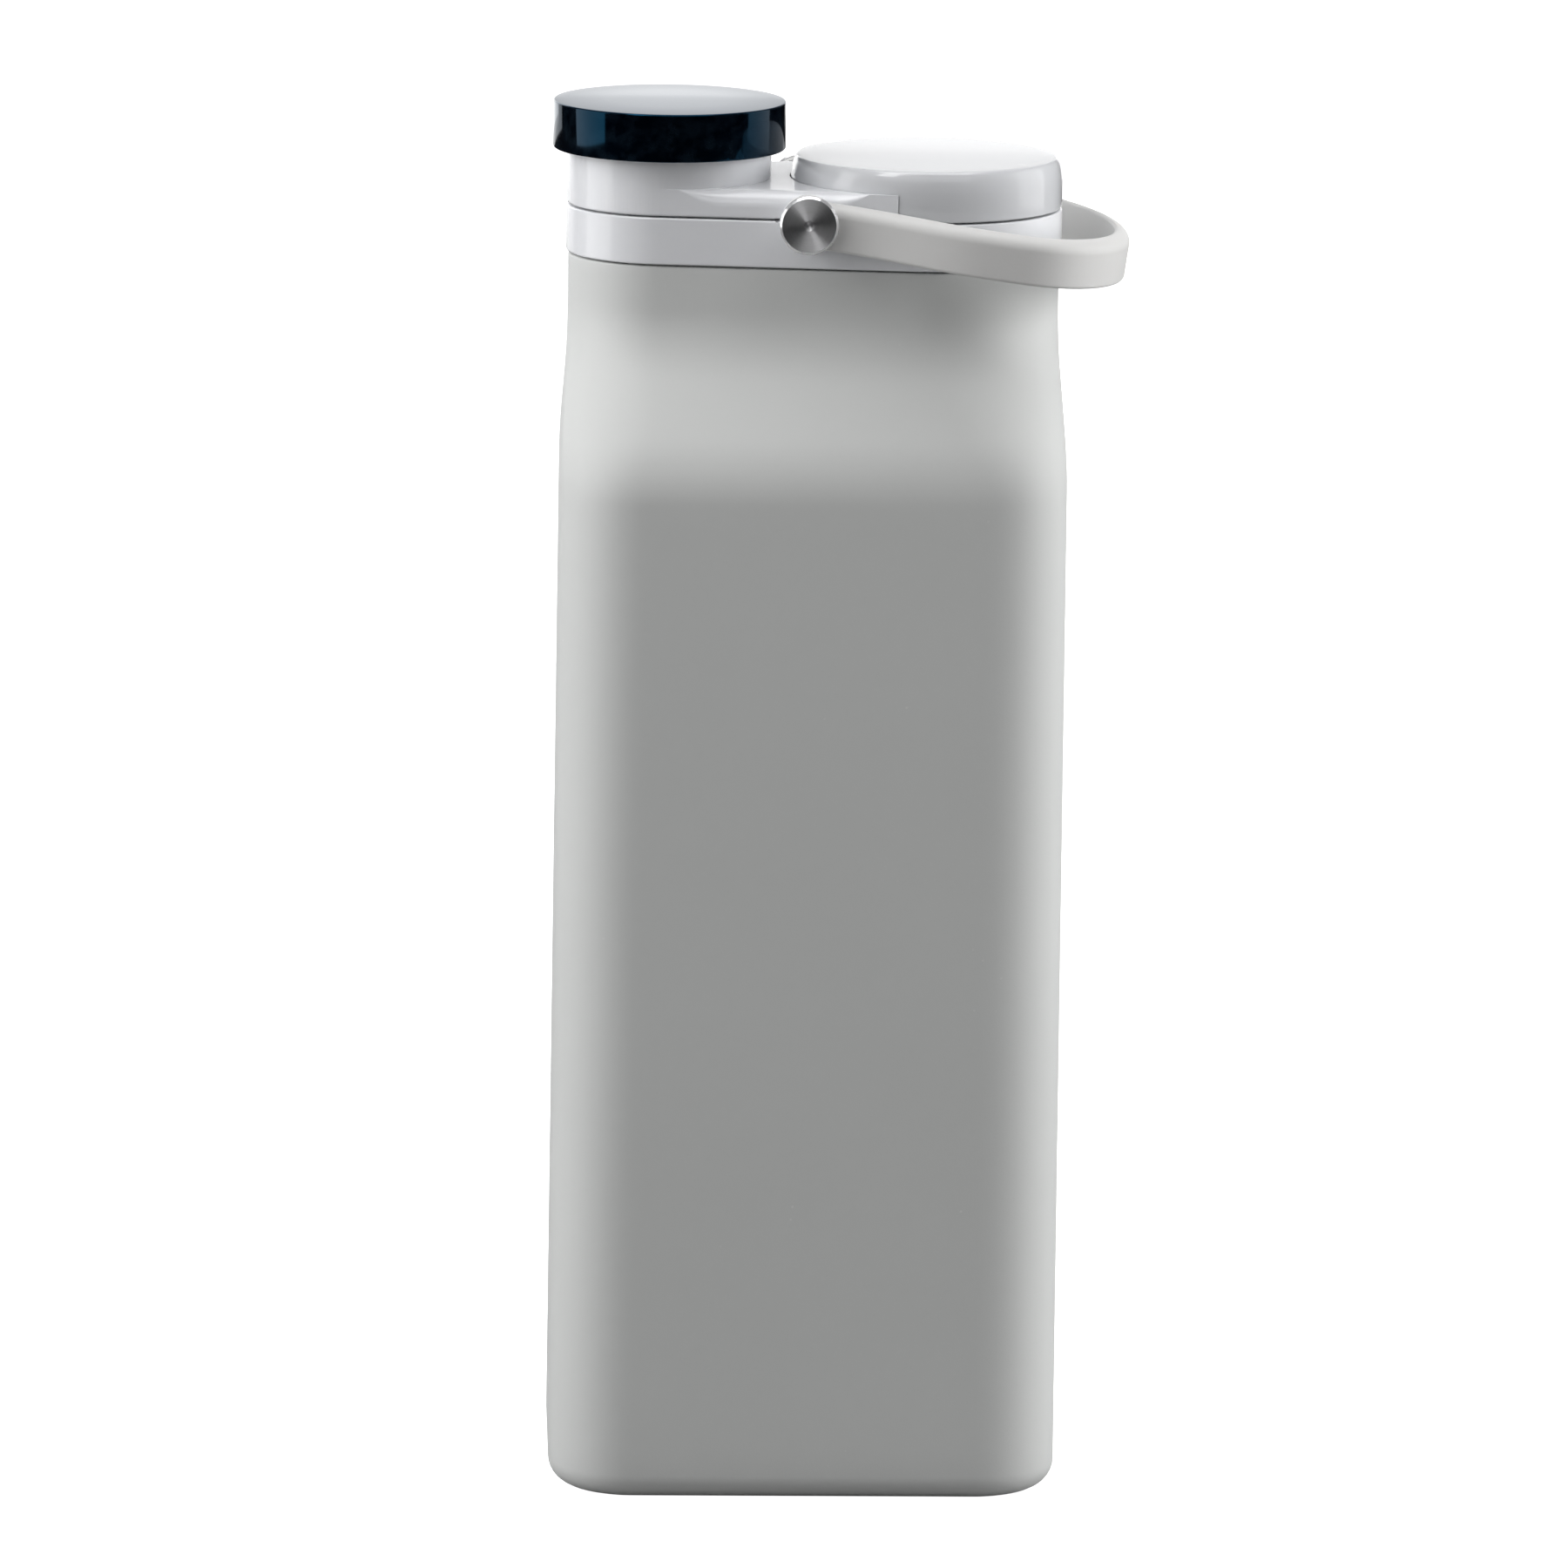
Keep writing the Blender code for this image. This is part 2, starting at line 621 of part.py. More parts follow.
def cap_core(name, outer, inner, foot, height):
    """Threaded core of a screw cap, which holds the seal against the rim of the neck."""
    profile = [
        (0.0, height - CORE_CEILING_DROP),
        (inner, height - CORE_CEILING_DROP),
        (inner, foot),
        (outer, foot),
        (outer, height - CORE_TOP_DROP),
        (0.0, height - CORE_TOP_DROP),
    ]
    return turned(name, profile, HEAD_FACETS)


def cap_seal(name, outer, inner, height):
    """Flat silicone seal ring between a cap's core and the rim of its neck."""
    low = height - SEAL_FOOT_DROP
    high = height - SEAL_TOP_DROP
    return turned(name, [(inner, low), (outer, low), (outer, high), (inner, high)], SEAL_FACETS, ring=True)


def drink_cap():
    """Navy cap of the drinking neck, with its core and seal, all centred on the neck's axis."""
    shell = cap_shell(
        "drink_cap_shell", DRINK_CAP_RADIUS, DRINK_CAP_RADIUS, DRINK_CAP_HEIGHT, DRINK_CAP_ROUND
    )
    give_finish(shell, NAVY_PLASTIC, 0.10)
    foot = COLLAR_ENTRY + CLEARANCE
    core = cap_core("drink_cap_core", DRINK_CORE_OUTER, DRINK_CORE_INNER, foot, DRINK_CAP_HEIGHT)
    give_finish(core, WHITE_PLASTIC, 0.35)
    seal = cap_seal(
        "drink_cap_seal", DRINK_CORE_INNER - CLEARANCE, DRINK_BORE_RADIUS + CLEARANCE, DRINK_CAP_HEIGHT
    )
    give_finish(seal, CLEAR_SILICONE, 0.45)
    for piece in (shell, core, seal):
        piece.location = (NECK_AXIS_X, 0.0, DRINK_CAP_FOOT_Z)


def fill_lid():
    """White lid of the filling neck, with its core and seal, all centred on the lid's axis."""
    shell = cap_shell("fill_lid_shell", LID_END_RADIUS, LID_TOP_RADIUS, LID_HEIGHT, LID_ROUND)
    give_finish(shell, WHITE_PLASTIC, 0.14)
    core = cap_core("fill_lid_core", LID_CORE_OUTER, LID_CORE_INNER, CLEARANCE, LID_HEIGHT)
    give_finish(core, WHITE_PLASTIC, 0.35)
    seal = cap_seal("fill_lid_seal", LID_CORE_INNER - CLEARANCE, FILL_BORE_RADIUS + CLEARANCE, LID_HEIGHT)
    give_finish(seal, CLEAR_SILICONE, 0.45)
    for piece in (shell, core, seal):
        piece.location = (LID_AXIS_X, 0.0, LID_FOOT_Z)


def strap_section():
    """Rounded section of the strap as (outward, upward) points."""
    across = STRAP_THICKNESS / 2 - STRAP_ROUND
    up = STRAP_WIDTH / 2 - STRAP_ROUND
    section = []
    for corner, (side_x, side_z) in enumerate(((1, 1), (-1, 1), (-1, -1), (1, -1))):
        start = corner * math.pi / 2
        section += arc(side_x * across, side_z * up, STRAP_ROUND, spread(ROUND_STEPS + 1, start, start + math.pi / 2))
    return section


def strap_route():
    """Stations along the strap as (x, y, direction of its outer face), from front eye to back eye.

    Each arm bows out beside the head, and the far end is half an ellipse.
    """
    middle_at_pivot = (STRAP_FOOT + STRAP_FACE) / 2
    end_x = STRAP_REACH - STRAP_END_LENGTH
    end_along = STRAP_END_LENGTH - STRAP_THICKNESS / 2
    end_across = STRAP_HALF_DEPTH - STRAP_THICKNESS / 2
    bow = end_across - middle_at_pivot
    front = []
    for x in [0.0] + spread(STRAP_ARM_STEPS, STRAP_EYE_RADIUS, end_x)[:-1]:
        share = min(1.0, max(0.0, (x - STRAP_EYE_RADIUS) / STRAP_BOW_LENGTH))
        slope = bow / STRAP_BOW_LENGTH * 6.0 * share * (1.0 - share)
        front.append((x, -middle_at_pivot - bow * smooth_step(share), -math.pi / 2 - math.atan(slope)))
    loop = []
    for angle in spread(STRAP_END_STEPS + 1, -math.pi / 2, math.pi / 2):
        along, across = math.cos(angle), math.sin(angle)
        facing = math.atan2(across / end_across, along / end_along)
        loop.append((end_x + end_along * along, end_across * across, facing))
    back = [(x, -y, -facing) for x, y, facing in reversed(front)]
    return front + loop + back


def strap_eye(side):
    """Round eye at one end of the strap, its faces a little proud so that only they rub."""
    eye = pivot_tool("strap_eye_" + side_name(side), STRAP_EYE_RADIUS, EYE_FOOT, EYE_FACE)
    eye.rotation_euler = (-side * math.pi / 2, 0.0, 0.0)
    return eye


def carry_strap():
    """Silicone carry strap: one rounded band from pivot to pivot round the large end of the head."""
    section = strap_section()
    rings = []
    for x, y, facing in strap_route():
        rings.append([(x + out * math.cos(facing), y + out * math.sin(facing), up) for out, up in section])
    piece = lofted("carry_strap", rings)
    tools = []
    for side in (-1, 1):
        eye = strap_eye(side)
        fuse(piece, eye)
        tools.append(eye)
    bore = pivot_tool("strap_bore", EYE_HOLE_RADIUS, -DISC_FACE, DISC_FACE)
    bore.rotation_euler = (math.pi / 2, 0.0, 0.0)
    cut(piece, bore)
    tools.append(bore)
    for tool in tools:
        tool.parent = piece
    piece.location = (PIVOT_X, 0.0, PIVOT_Z)
    piece.rotation_euler = (0.0, STRAP_DROOP, 0.0)
    give_finish(piece, STRAP_SILICONE, 0.5)


def pivot_screw(side):
    """Steel shoulder screw: spun disc outside the strap, shank through its bush into the insert."""
    shank_end = PAD_FACE - INSERT_DEPTH + SHANK_END_GAP
    profile = [
        (0.0, shank_end),
        (SHANK_RADIUS - PIVOT_GAP, shank_end),
        (SHANK_RADIUS, shank_end + PIVOT_GAP),
        (SHANK_RADIUS, DISC_FOOT),
        (DISC_RADIUS, DISC_FOOT),
        (DISC_RADIUS, DISC_FACE - DISC_CHAMFER),
        (DISC_RADIUS - DISC_CHAMFER, DISC_FACE),
        (DIMPLE_RADIUS, DISC_FACE),
        (0.0, DISC_FACE - DIMPLE_DEPTH),
    ]
    piece = turned("pivot_screw_" + side_name(side), profile, PIVOT_FACETS)
    face_out(piece, side)
    give_finish(piece, STEEL, 0.28, 1.0)


def pivot_sleeve(name, side, outer, near, far):
    """A plain ring round the shank, between two distances from the middle plane."""
    inner = SHANK_RADIUS + PIVOT_GAP
    profile = [(inner, near), (outer, near), (outer, far), (inner, far)]
    piece = turned(name + "_" + side_name(side), profile, BUSH_FACETS, ring=True)
    face_out(piece, side)
    return piece


def pivot_set(side):
    """Everything that one strap pivot holds, from the boss out."""
    insert = pivot_sleeve("pivot_insert", side, INSERT_RADIUS, PAD_FACE - INSERT_DEPTH, PAD_FACE - PIVOT_GAP)
    give_finish(insert, BRASS, 0.35, 1.0)
    washer = pivot_sleeve("pivot_washer", side, WASHER_RADIUS, WASHER_FOOT, WASHER_FACE)
    give_finish(washer, NYLON, 0.45)
    bush = pivot_sleeve("pivot_bush", side, BUSH_OUTER, EYE_FOOT, EYE_FACE)
    give_finish(bush, NYLON, 0.40)
    pivot_screw(side)


def build():
    clear_scene()
    silicone_base()
    silicone_sleeve()
    clamp_ring()
    collar_band()
    shoulder()
    fill_lid()
    drink_cap()
    carry_strap()
    for side in (-1, 1):
        pivot_set(side)


build()
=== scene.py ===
"""Looks of the collapsible water bottle: skins, finishes, floor, studio light and camera.

Everything is in metres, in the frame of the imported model: +Z up, the front towards -Y, the drinking
cap at the left and the filling lid at the right.
"""
import json
import math

import bmesh
import bpy
from mathutils import Matrix, Vector


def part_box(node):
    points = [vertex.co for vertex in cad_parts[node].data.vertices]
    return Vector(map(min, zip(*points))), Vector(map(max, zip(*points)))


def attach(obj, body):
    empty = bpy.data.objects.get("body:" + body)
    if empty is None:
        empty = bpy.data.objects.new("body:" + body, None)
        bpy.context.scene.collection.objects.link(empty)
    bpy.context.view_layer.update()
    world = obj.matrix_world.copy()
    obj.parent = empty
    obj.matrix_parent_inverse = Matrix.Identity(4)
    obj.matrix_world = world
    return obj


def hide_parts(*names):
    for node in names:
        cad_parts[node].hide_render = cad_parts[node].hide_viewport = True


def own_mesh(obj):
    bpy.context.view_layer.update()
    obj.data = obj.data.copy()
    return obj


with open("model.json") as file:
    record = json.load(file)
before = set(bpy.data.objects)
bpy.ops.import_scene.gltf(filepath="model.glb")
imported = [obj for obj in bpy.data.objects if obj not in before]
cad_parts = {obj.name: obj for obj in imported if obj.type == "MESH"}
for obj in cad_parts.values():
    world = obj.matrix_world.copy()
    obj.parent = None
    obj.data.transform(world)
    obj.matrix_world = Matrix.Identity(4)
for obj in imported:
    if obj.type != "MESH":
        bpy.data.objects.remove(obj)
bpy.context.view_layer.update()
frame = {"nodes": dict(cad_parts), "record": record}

MM = 0.001
SIDES = {"front": -1, "back": 1}

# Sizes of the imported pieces, and the head's outline seen from above.
BAND_LOW, BAND_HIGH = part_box("collar_band")
CAP_LOW, CAP_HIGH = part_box("drink_cap_shell")
LID_LOW, LID_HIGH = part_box("fill_lid_shell")
BASE_LOW, BASE_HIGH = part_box("silicone_base")
DECK_HIGH_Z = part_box("shoulder")[1].z
NECK_AXIS_X = (CAP_LOW.x + CAP_HIGH.x) / 2
LID_AXIS_X = (LID_LOW.x + LID_HIGH.x) / 2
NECK_END_RADIUS = NECK_AXIS_X - BAND_LOW.x
LID_END_RADIUS = BAND_HIGH.x - LID_AXIS_X
SIDE_SLOPE = math.asin((LID_END_RADIUS - NECK_END_RADIUS) / (LID_AXIS_X - NECK_AXIS_X))

# Soft body.
SEAM = 0.3 * MM
BODY_TOP_Z = BAND_LOW.z - SEAM
BODY_FOOT_WIDTH = BASE_HIGH.x - BASE_LOW.x
BODY_TOP_WIDTH = 77.6 * MM
BODY_DEPTH = BASE_HIGH.y - BASE_LOW.y
BODY_CORNER = 13.0 * MM
BODY_WALL = 2.0 * MM
BODY_FLOOR = 2.6 * MM
FOOT_ROUND = 4.0 * MM
BODY_TUCK = 0.3 * MM
GABLE_DROP = 6.7 * MM
GABLE_TOP_Z = BODY_TOP_Z - GABLE_DROP
GABLE_HEIGHT = 28.4 * MM
GABLE_BEND = 10.0 * MM
GABLE_FOOT_Z = GABLE_TOP_Z - GABLE_HEIGHT
LIP_TOP_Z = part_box("silicone_sleeve")[1].z
LIP_OUTER = 1.9 * MM
LIP_INNER = 3.5 * MM
LIP_DEPTH = 6.4 * MM
LIP_BLEND = 7.0 * MM

# Collar and shoulder.
BAND_WALL = 1.6 * MM
EDGE_EASE = 0.3 * MM
DECK_FOOT_Z = BAND_HIGH.z + SEAM
DECK_DROP = 4.3 * MM
DECK_TOP_Z = CAP_LOW.z - DECK_DROP
DECK_ROUND = 2.5 * MM
DECK_LEAST_ROUND = 0.02 * MM
# Distances from a neck's circle at which the round of the deck's edge begins and is full.
NECK_RUN_OUT = (3.0 * MM, 10.0 * MM)
SEAT_RUN_OUT = (6.8 * MM, 14.0 * MM)
LEDGE_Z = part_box("clamp_ring")[1].z + SEAM
SKIRT_FOOT_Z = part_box("shoulder")[0].z
SKIRT_OUTER = 5.2 * MM
SKIRT_INNER = 6.4 * MM
SEAT_GAP = 0.15 * MM
SEAM_RELIEF = 0.35 * MM
COLLAR_TUCK = 0.6 * MM
COLLAR_TOP_Z = CAP_LOW.z + COLLAR_TUCK
NECK_ROUND = 0.4 * MM
NECK_WALL = 2.5 * MM
FLOOR_WALL = 2.0 * MM
DRINK_NECK_RADIUS = 13.65 * MM
FILL_NECK_RADIUS = 17.0 * MM
FILL_NECK_DROP = 4.5 * MM
FILL_NECK_TOP_Z = LID_HIGH.z - FILL_NECK_DROP
THREAD_STARTS = 3
THREAD_LEAD = 4.0 * MM
THREAD_STAND = 0.3 * MM
THREAD_FOOT = 1.1 * MM
THREAD_CREST = THREAD_FOOT * 2 / 5
THREAD_SINK = 0.02 * MM
THREAD_RISE_SHARE = 0.125
THREAD_MARGIN = 0.15 * MM

# Caps.
CAP_WALL = 1.5 * MM
CAP_ROOF = 1.4 * MM
CAP_ROUND = 0.3 * MM
CAP_CROWN = 0.15 * MM
LID_ROUND = 1.2 * MM
LID_ROUND_HEIGHT = 4.0 * MM
LID_CROWN = 0.2 * MM

# Strap pivots, whose axis lies along Y.
SCREW_LOW, SCREW_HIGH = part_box("pivot_screw_back")
PIVOT_X = (SCREW_LOW.x + SCREW_HIGH.x) / 2
PIVOT_Z = (SCREW_LOW.z + SCREW_HIGH.z) / 2
DISC_RADIUS = (SCREW_HIGH.x - SCREW_LOW.x) / 2
DISC_FACE = SCREW_HIGH.y
DISC_THICKNESS = 0.95 * MM
DISC_CHAMFER = 0.38 * MM
DISC_EASE = 0.05 * MM
DISC_DISH = 0.12 * MM
DIMPLE_RADIUS = 0.8 * MM
DIMPLE_DEPTH = 0.3 * MM
SHANK_RADIUS = 1.25 * MM
SHANK_EASE = 0.15 * MM
PAD_RADIUS = 3.9 * MM
PAD_STAND = 0.15 * MM
PAD_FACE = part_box("pivot_insert_back")[1].y + PAD_STAND
PAD_THICKNESS = 1.9 * MM
BOSS_RADIUS = 3.0 * MM
BOSS_DEPTH = 6.7 * MM
INSERT_HOLE_RADIUS = 2.15 * MM
INSERT_DEPTH = 5.15 * MM

# Carry strap, which lies level before it droops about the pivots.
EYE_FOOT, EYE_FACE = (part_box("pivot_bush_back")[side].y for side in (0, 1))
STRAP_STAND = 0.1 * MM
STRAP_THICKNESS = EYE_FACE - EYE_FOOT - 2 * STRAP_STAND
STRAP_WIDTH = 7.1 * MM
STRAP_SWELL = 0.3 * MM
STRAP_ROUND = 0.5 * MM
STRAP_BROW_ROUND = 2.1 * MM
STRAP_HALF_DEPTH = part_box("carry_strap")[1].y
STRAP_LOOP_REACH = 10.7 * MM
STRAP_REACH = BAND_HIGH.x - PIVOT_X + STRAP_LOOP_REACH
STRAP_BOW_LENGTH = 23.0 * MM
STRAP_END_LENGTH = 18.4 * MM
STRAP_EYE_RADIUS = 4.2 * MM
STRAP_EYE_EASE = 0.1 * MM
STRAP_BORE_RADIUS = 2.35 * MM
STRAP_DROOP = math.radians(8.0)

# Fineness of the meshes.
TIP_ANGLE = math.radians(8.0)
TIP_STEPS = 8
CORNER_STEPS = 30
SIDE_STEPS = 56
TURN_STEPS = 192
PIVOT_STEPS = 96
WALL_RINGS = 36
GABLE_RINGS = 44
BODY_NECK_RINGS = 8
INNER_GABLE_RINGS = 22
INNER_WALL_RINGS = 16
DECK_EDGE_RINGS = 11
LIP_EDGE_STEPS = 3
EASE_STEPS = 4
SMALL_ROUND_STEPS = 5
ROUND_STEPS = 8
THREAD_STEPS = 72
CAP_EDGE_STEPS = 14
CAP_TOP_RINGS = 13
DISC_FACE_RINGS = 9
DIMPLE_RINGS = 6
STRAP_BROW_STEPS = 10
STRAP_ARM_STEPS = 44
STRAP_END_STEPS = 81
SMOOTH_ANGLE = math.radians(32.0)

# Finishes of silicone, of glossy plastic and of small inner parts, by slot. Each has a pair of
# colours, between which its clouds change.
SILICONES = {
    "body_silicone": {
        "colours": ((0.62, 0.63, 0.62), (0.65, 0.66, 0.65)),
        "roughness": 0.55,
        "sheen": 0.08,
        "lint_share": 0.35,
    },
    "strap_silicone": {
        "colours": ((0.67, 0.667, 0.657), (0.70, 0.697, 0.687)),
        "roughness": 0.48,
        "sheen": 0.06,
        "lint_share": 0.30,
    },
    "seal_silicone": {
        "colours": ((0.70, 0.72, 0.73), (0.74, 0.76, 0.77)),
        "roughness": 0.42,
        "sheen": 0.0,
        "lint_share": 0.0,
    },
}
GLOSS_PLASTICS = {
    "head_plastic": {
        "colours": ((0.81, 0.82, 0.845), (0.83, 0.84, 0.865)),
        "rub_colour": (0.87, 0.87, 0.88),
        "roughness": 0.13,
        "coat": 0.15,
        "coat_roughness": 0.08,
    },
    # The lid's colours are darker than the head's: painted shade on the lid's white plastic.
    "lid_plastic": {
        "colours": ((0.66, 0.67, 0.69), (0.68, 0.69, 0.71)),
        "rub_colour": (0.80, 0.80, 0.81),
        "roughness": 0.14,
        "coat": 0.5,
        "coat_roughness": 0.07,
    },
}
INNER_PARTS = {
    "inner_plastic": {
        "colours": ((0.74, 0.74, 0.75), (0.78, 0.78, 0.79)),
        "roughness": 0.38,
        "metallic": 0.0,
    },
    "bearing_nylon": {
        "colours": ((0.76, 0.75, 0.71), (0.80, 0.79, 0.75)),
        "roughness": 0.42,
        "metallic": 0.0,
    },
    "insert_brass": {
        "colours": ((0.62, 0.45, 0.22), (0.72, 0.54, 0.28)),
        "roughness": 0.32,
        "metallic": 1.0,
    },
}
LINT_COLOUR = (0.86, 0.86, 0.85)
PLASTIC_RUB = 0.35
RUB_ROUGHNESS = 0.08
# The cap is one navy plastic: its side is painted near black as shade and its top paler as a painted
# highlight.
CAP_SIDE_PAINTED_SHADE_NAVY = ((0.0002, 0.0006, 0.0018), (0.0003, 0.0010, 0.0028))
CAP_TOP_PAINTED_HIGHLIGHT_NAVY = ((0.004, 0.036, 0.082), (0.005, 0.044, 0.100))
CAP_RUB_NAVY = (0.05, 0.09, 0.13)
CAP_RUB = 0.30
CAP_COAT = 0.7
CAP_RIM_COAT = 0.35
CAP_COAT_FADE = 0.55
STEEL_FACE = ((0.84, 0.84, 0.85), (0.96, 0.96, 0.97))
STEEL_RIM = (0.88, 0.88, 0.89)
TONES_PER_METRE = 2600.0

# Studio.
BLACK = (0.0, 0.0, 0.0)
WHITE = (1.0, 1.0, 1.0)
FLOOR_REACH = 9.0
FLOOR_STEPS = 24
FLOOR_DROP = 0.02 * MM
FOOT_RAY = 0.1 * MM
FLOOR_TO_EYE = ((0.90, 0.90, 0.90), (0.92, 0.92, 0.92))
FLOOR_TO_BOTTLE = (0.30, 0.30, 0.30)
FLOOR_TO_GLOSS = (0.02, 0.02, 0.02)
WORLD_TO_BOTTLE = (0.085, 0.085, 0.088)
LIGHT_AIM_Z = 0.16

# Camera, on the photograph's line of sight.
CAMERA_AIM = Vector((-3.47 * MM, 0.0, 107.87 * MM))
CAMERA_DISTANCE = 1.56
CAMERA_AZIMUTH = math.radians(2.0)
CAMERA_ELEVATION = math.radians(11.57)
CAMERA_ROLL = math.radians(0.78)
CAMERA_LENS = 230.2

# Numbers of the Mix node's colour sockets.
MIX_FACTOR = 0
MIX_FIRST = 6
MIX_SECOND = 7
MIX_RESULT = 2


# Mesh building.

def finish_mesh(name, bm):
    """Turn a bmesh into a smooth-shaded object whose hard edges stay crisp."""
    bmesh.ops.recalc_face_normals(bm, faces=bm.faces)
    mesh = bpy.data.meshes.new(name)
    bm.to_mesh(mesh)
    bm.free()
    piece = bpy.data.objects.new(name, mesh)
    bpy.context.scene.collection.objects.link(piece)
    shade(piece)
    return piece


def shade(piece):
    piece.data.shade_smooth()
    piece.data.set_sharp_from_angle(angle=SMOOTH_ANGLE)


def lofted(name, rings, closed=False):
    """Skin a stack of rings with equal counts, which closes on itself or gets end faces."""
    bm = bmesh.new()
    loops = [[bm.verts.new(point) for point in points] for points in rings]
    pairs = list(zip(loops, loops[1:]))
    if closed:
        pairs.append((loops[-1], loops[0]))
    else:
        bm.faces.new(loops[0])
        bm.faces.new(loops[-1])
    for lower, upper in pairs:
        for index in range(len(lower)):
            after = (index + 1) % len(lower)
            bm.faces.new((lower[index], lower[after], upper[after], upper[index]))
    return finish_mesh(name, bm)


def turned(name, profile, steps=TURN_STEPS):
    """Turn (radius, height) points about local Z; the first and last points lie on the axis."""
    bm = bmesh.new()
    axis_low = bm.verts.new((0.0, 0.0, profile[0][1]))
    axis_high = bm.verts.new((0.0, 0.0, profile[-1][1]))
    rings = []
    for radius, height in profile[1:-1]:
        angles = [math.tau * index / steps for index in range(steps)]
        rings.append([bm.verts.new((radius * math.cos(a), radius * math.sin(a), height)) for a in angles])
    for index in range(steps):
        after = (index + 1) % steps
        bm.faces.new((axis_low, rings[0][after], rings[0][index]))
        bm.faces.new((axis_high, rings[-1][index], rings[-1][after]))
        for lower, upper in zip(rings, rings[1:]):
            bm.faces.new((lower[index], lower[after], upper[after], upper[index]))
    return finish_mesh(name, bm)


def clamped(share):
    return min(1.0, max(0.0, share))


def eased(share):
    """A share from 0 to 1 with level ends."""
    return share * share * (3.0 - 2.0 * share)


def eased_slope(share):
    """Steepness of the eased share."""
    return 6.0 * share * (1.0 - share)


def spread(count, start, end):
    """Equal steps from start to end, both included."""
    return [start + (end - start) * index / (count - 1) for index in range(count)]


def arc(centre_x, centre_y, radius, angles):
    return [(centre_x + radius * math.cos(a), centre_y + radius * math.sin(a)) for a in angles]


def bend(centre_x, centre_y, radius, start, end, steps=ROUND_STEPS):
    """A rounded profile corner between two angles in degrees."""
    return arc(centre_x, centre_y, radius, spread(steps + 1, math.radians(start), math.radians(end)))


def join_shapes(piece, steps):
    """Fuse tools on or cut them out, in order, keep the result as plain mesh and drop the tools."""
    for tool, operation in steps:
        step = piece.modifiers.new(tool.name, "BOOLEAN")
        step.operation = operation
        step.solver = "MANIFOLD"
        step.object = tool
    bpy.context.view_layer.update()
    seen = piece.evaluated_get(bpy.context.evaluated_depsgraph_get())
    mesh = bpy.data.meshes.new_from_object(seen)
    piece.modifiers.clear()
    piece.data = mesh
    mesh.name = piece.name
    for tool, _ in steps:
        bpy.data.objects.remove(tool, do_unlink=True)
    shade(piece)
    even = piece.modifiers.new("even_normals", "WEIGHTED_NORMAL")
    even.keep_sharp = True


def lay_on_pivot(piece, side):
    """Place a piece that is turned about local Z on the pivots' axis, pointing out of a side."""
    piece.rotation_euler = (-side * math.pi / 2, 0.0, 0.0)
    piece.location = (PIVOT_X, 0.0, PIVOT_Z)
    return piece


def pivot_rod(name, radius, near, far, side):
    """A plain cylinder on the pivots' axis."""
    rod = turned(name, [(0.0, near), (radius, near), (radius, far), (0.0, far)], PIVOT_STEPS)
    return lay_on_pivot(rod, side)


def post(name, axis_x, profile):
    """A turned upright shape on a neck's axis."""
    piece = turned(name, profile)
    piece.location.x = axis_x
    return piece


def plain_post(name, axis_x, radius, low, high):
    return post(name, axis_x, [(0.0, low), (radius, low), (radius, high), (0.0, high)])


# Outlines of the head and the body, point for point alike, so that one eases into the other.

def end_angles():
    """Angles round the right end, from tip to straight side, and on round the left end."""
    tangent = math.pi / 2 + SIDE_SLOPE
    right = spread(TIP_STEPS + 1, 0.0, TIP_ANGLE)[:-1] + spread(CORNER_STEPS + 1, TIP_ANGLE, tangent)
    left_tip = math.pi - TIP_ANGLE
    left = spread(CORNER_STEPS + 1, tangent, left_tip) + spread(TIP_STEPS + 1, left_tip, math.pi)[1:]
    return right, left


def whole_outline(back_half):
    """Close an outline with the mirror image of its back half, whose ends lie on y = 0."""
    return back_half + [(x, -y) for x, y in reversed(back_half[1:-1])]


def bridge(start, end):
    """The points strictly between two others."""
    xs = spread(SIDE_STEPS + 2, start[0], end[0])
    ys = spread(SIDE_STEPS + 2, start[1], end[1])
    return list(zip(xs, ys))[1:-1]


def head_outline(inset):
    right_angles, left_angles = end_angles()
    right = arc(LID_AXIS_X, 0.0, LID_END_RADIUS - inset, right_angles)
    left = arc(NECK_AXIS_X, 0.0, NECK_END_RADIUS - inset, left_angles)
    return whole_outline(right + bridge(right[-1], left[0]) + left)


def box_outline(width, inset):
    centre_x = width / 2 - BODY_CORNER
    centre_y = BODY_DEPTH / 2 - BODY_CORNER
    radius = BODY_CORNER - inset
    tip_heights = spread(TIP_STEPS + 1, 0.0, centre_y)
    right = [(centre_x + radius, y) for y in tip_heights[:-1]]
    right += arc(centre_x, centre_y, radius, spread(CORNER_STEPS + 1, 0.0, math.pi / 2))
    left = [(-x, y) for x, y in reversed(right)]
    return whole_outline(right + bridge(right[-1], left[0]) + left)


def head_ring(inset, z):
    return [(x, y, z) for x, y in head_outline(inset)]


def head_rings(profile):
    return [head_ring(inset, z) for inset, z in profile]


def gable_share(z):
    """Share of the box shape at a height: a straight slope between two round bends."""
    drop = min(GABLE_HEIGHT, max(0.0, GABLE_TOP_Z - z))
    run = GABLE_HEIGHT - GABLE_BEND
    if drop < GABLE_BEND:
        return drop * drop / (2 * GABLE_BEND * run)
    if drop > run:
        rest = GABLE_HEIGHT - drop
        return 1.0 - rest * rest / (2 * GABLE_BEND * run)
    return (drop - GABLE_BEND / 2) / run


def body_ring(z, inset):
    width = BODY_FOOT_WIDTH + (BODY_TOP_WIDTH - BODY_FOOT_WIDTH) * min(1.0, z / GABLE_FOOT_Z)
    share = gable_share(z)
    box = box_outline(width, inset)
    head = head_outline(BODY_TUCK + inset)
    ring = []
    for (box_x, box_y), (head_x, head_y) in zip(box, head):
        ring.append((box_x * share + head_x * (1 - share), box_y * share + head_y * (1 - share), z))
    return ring


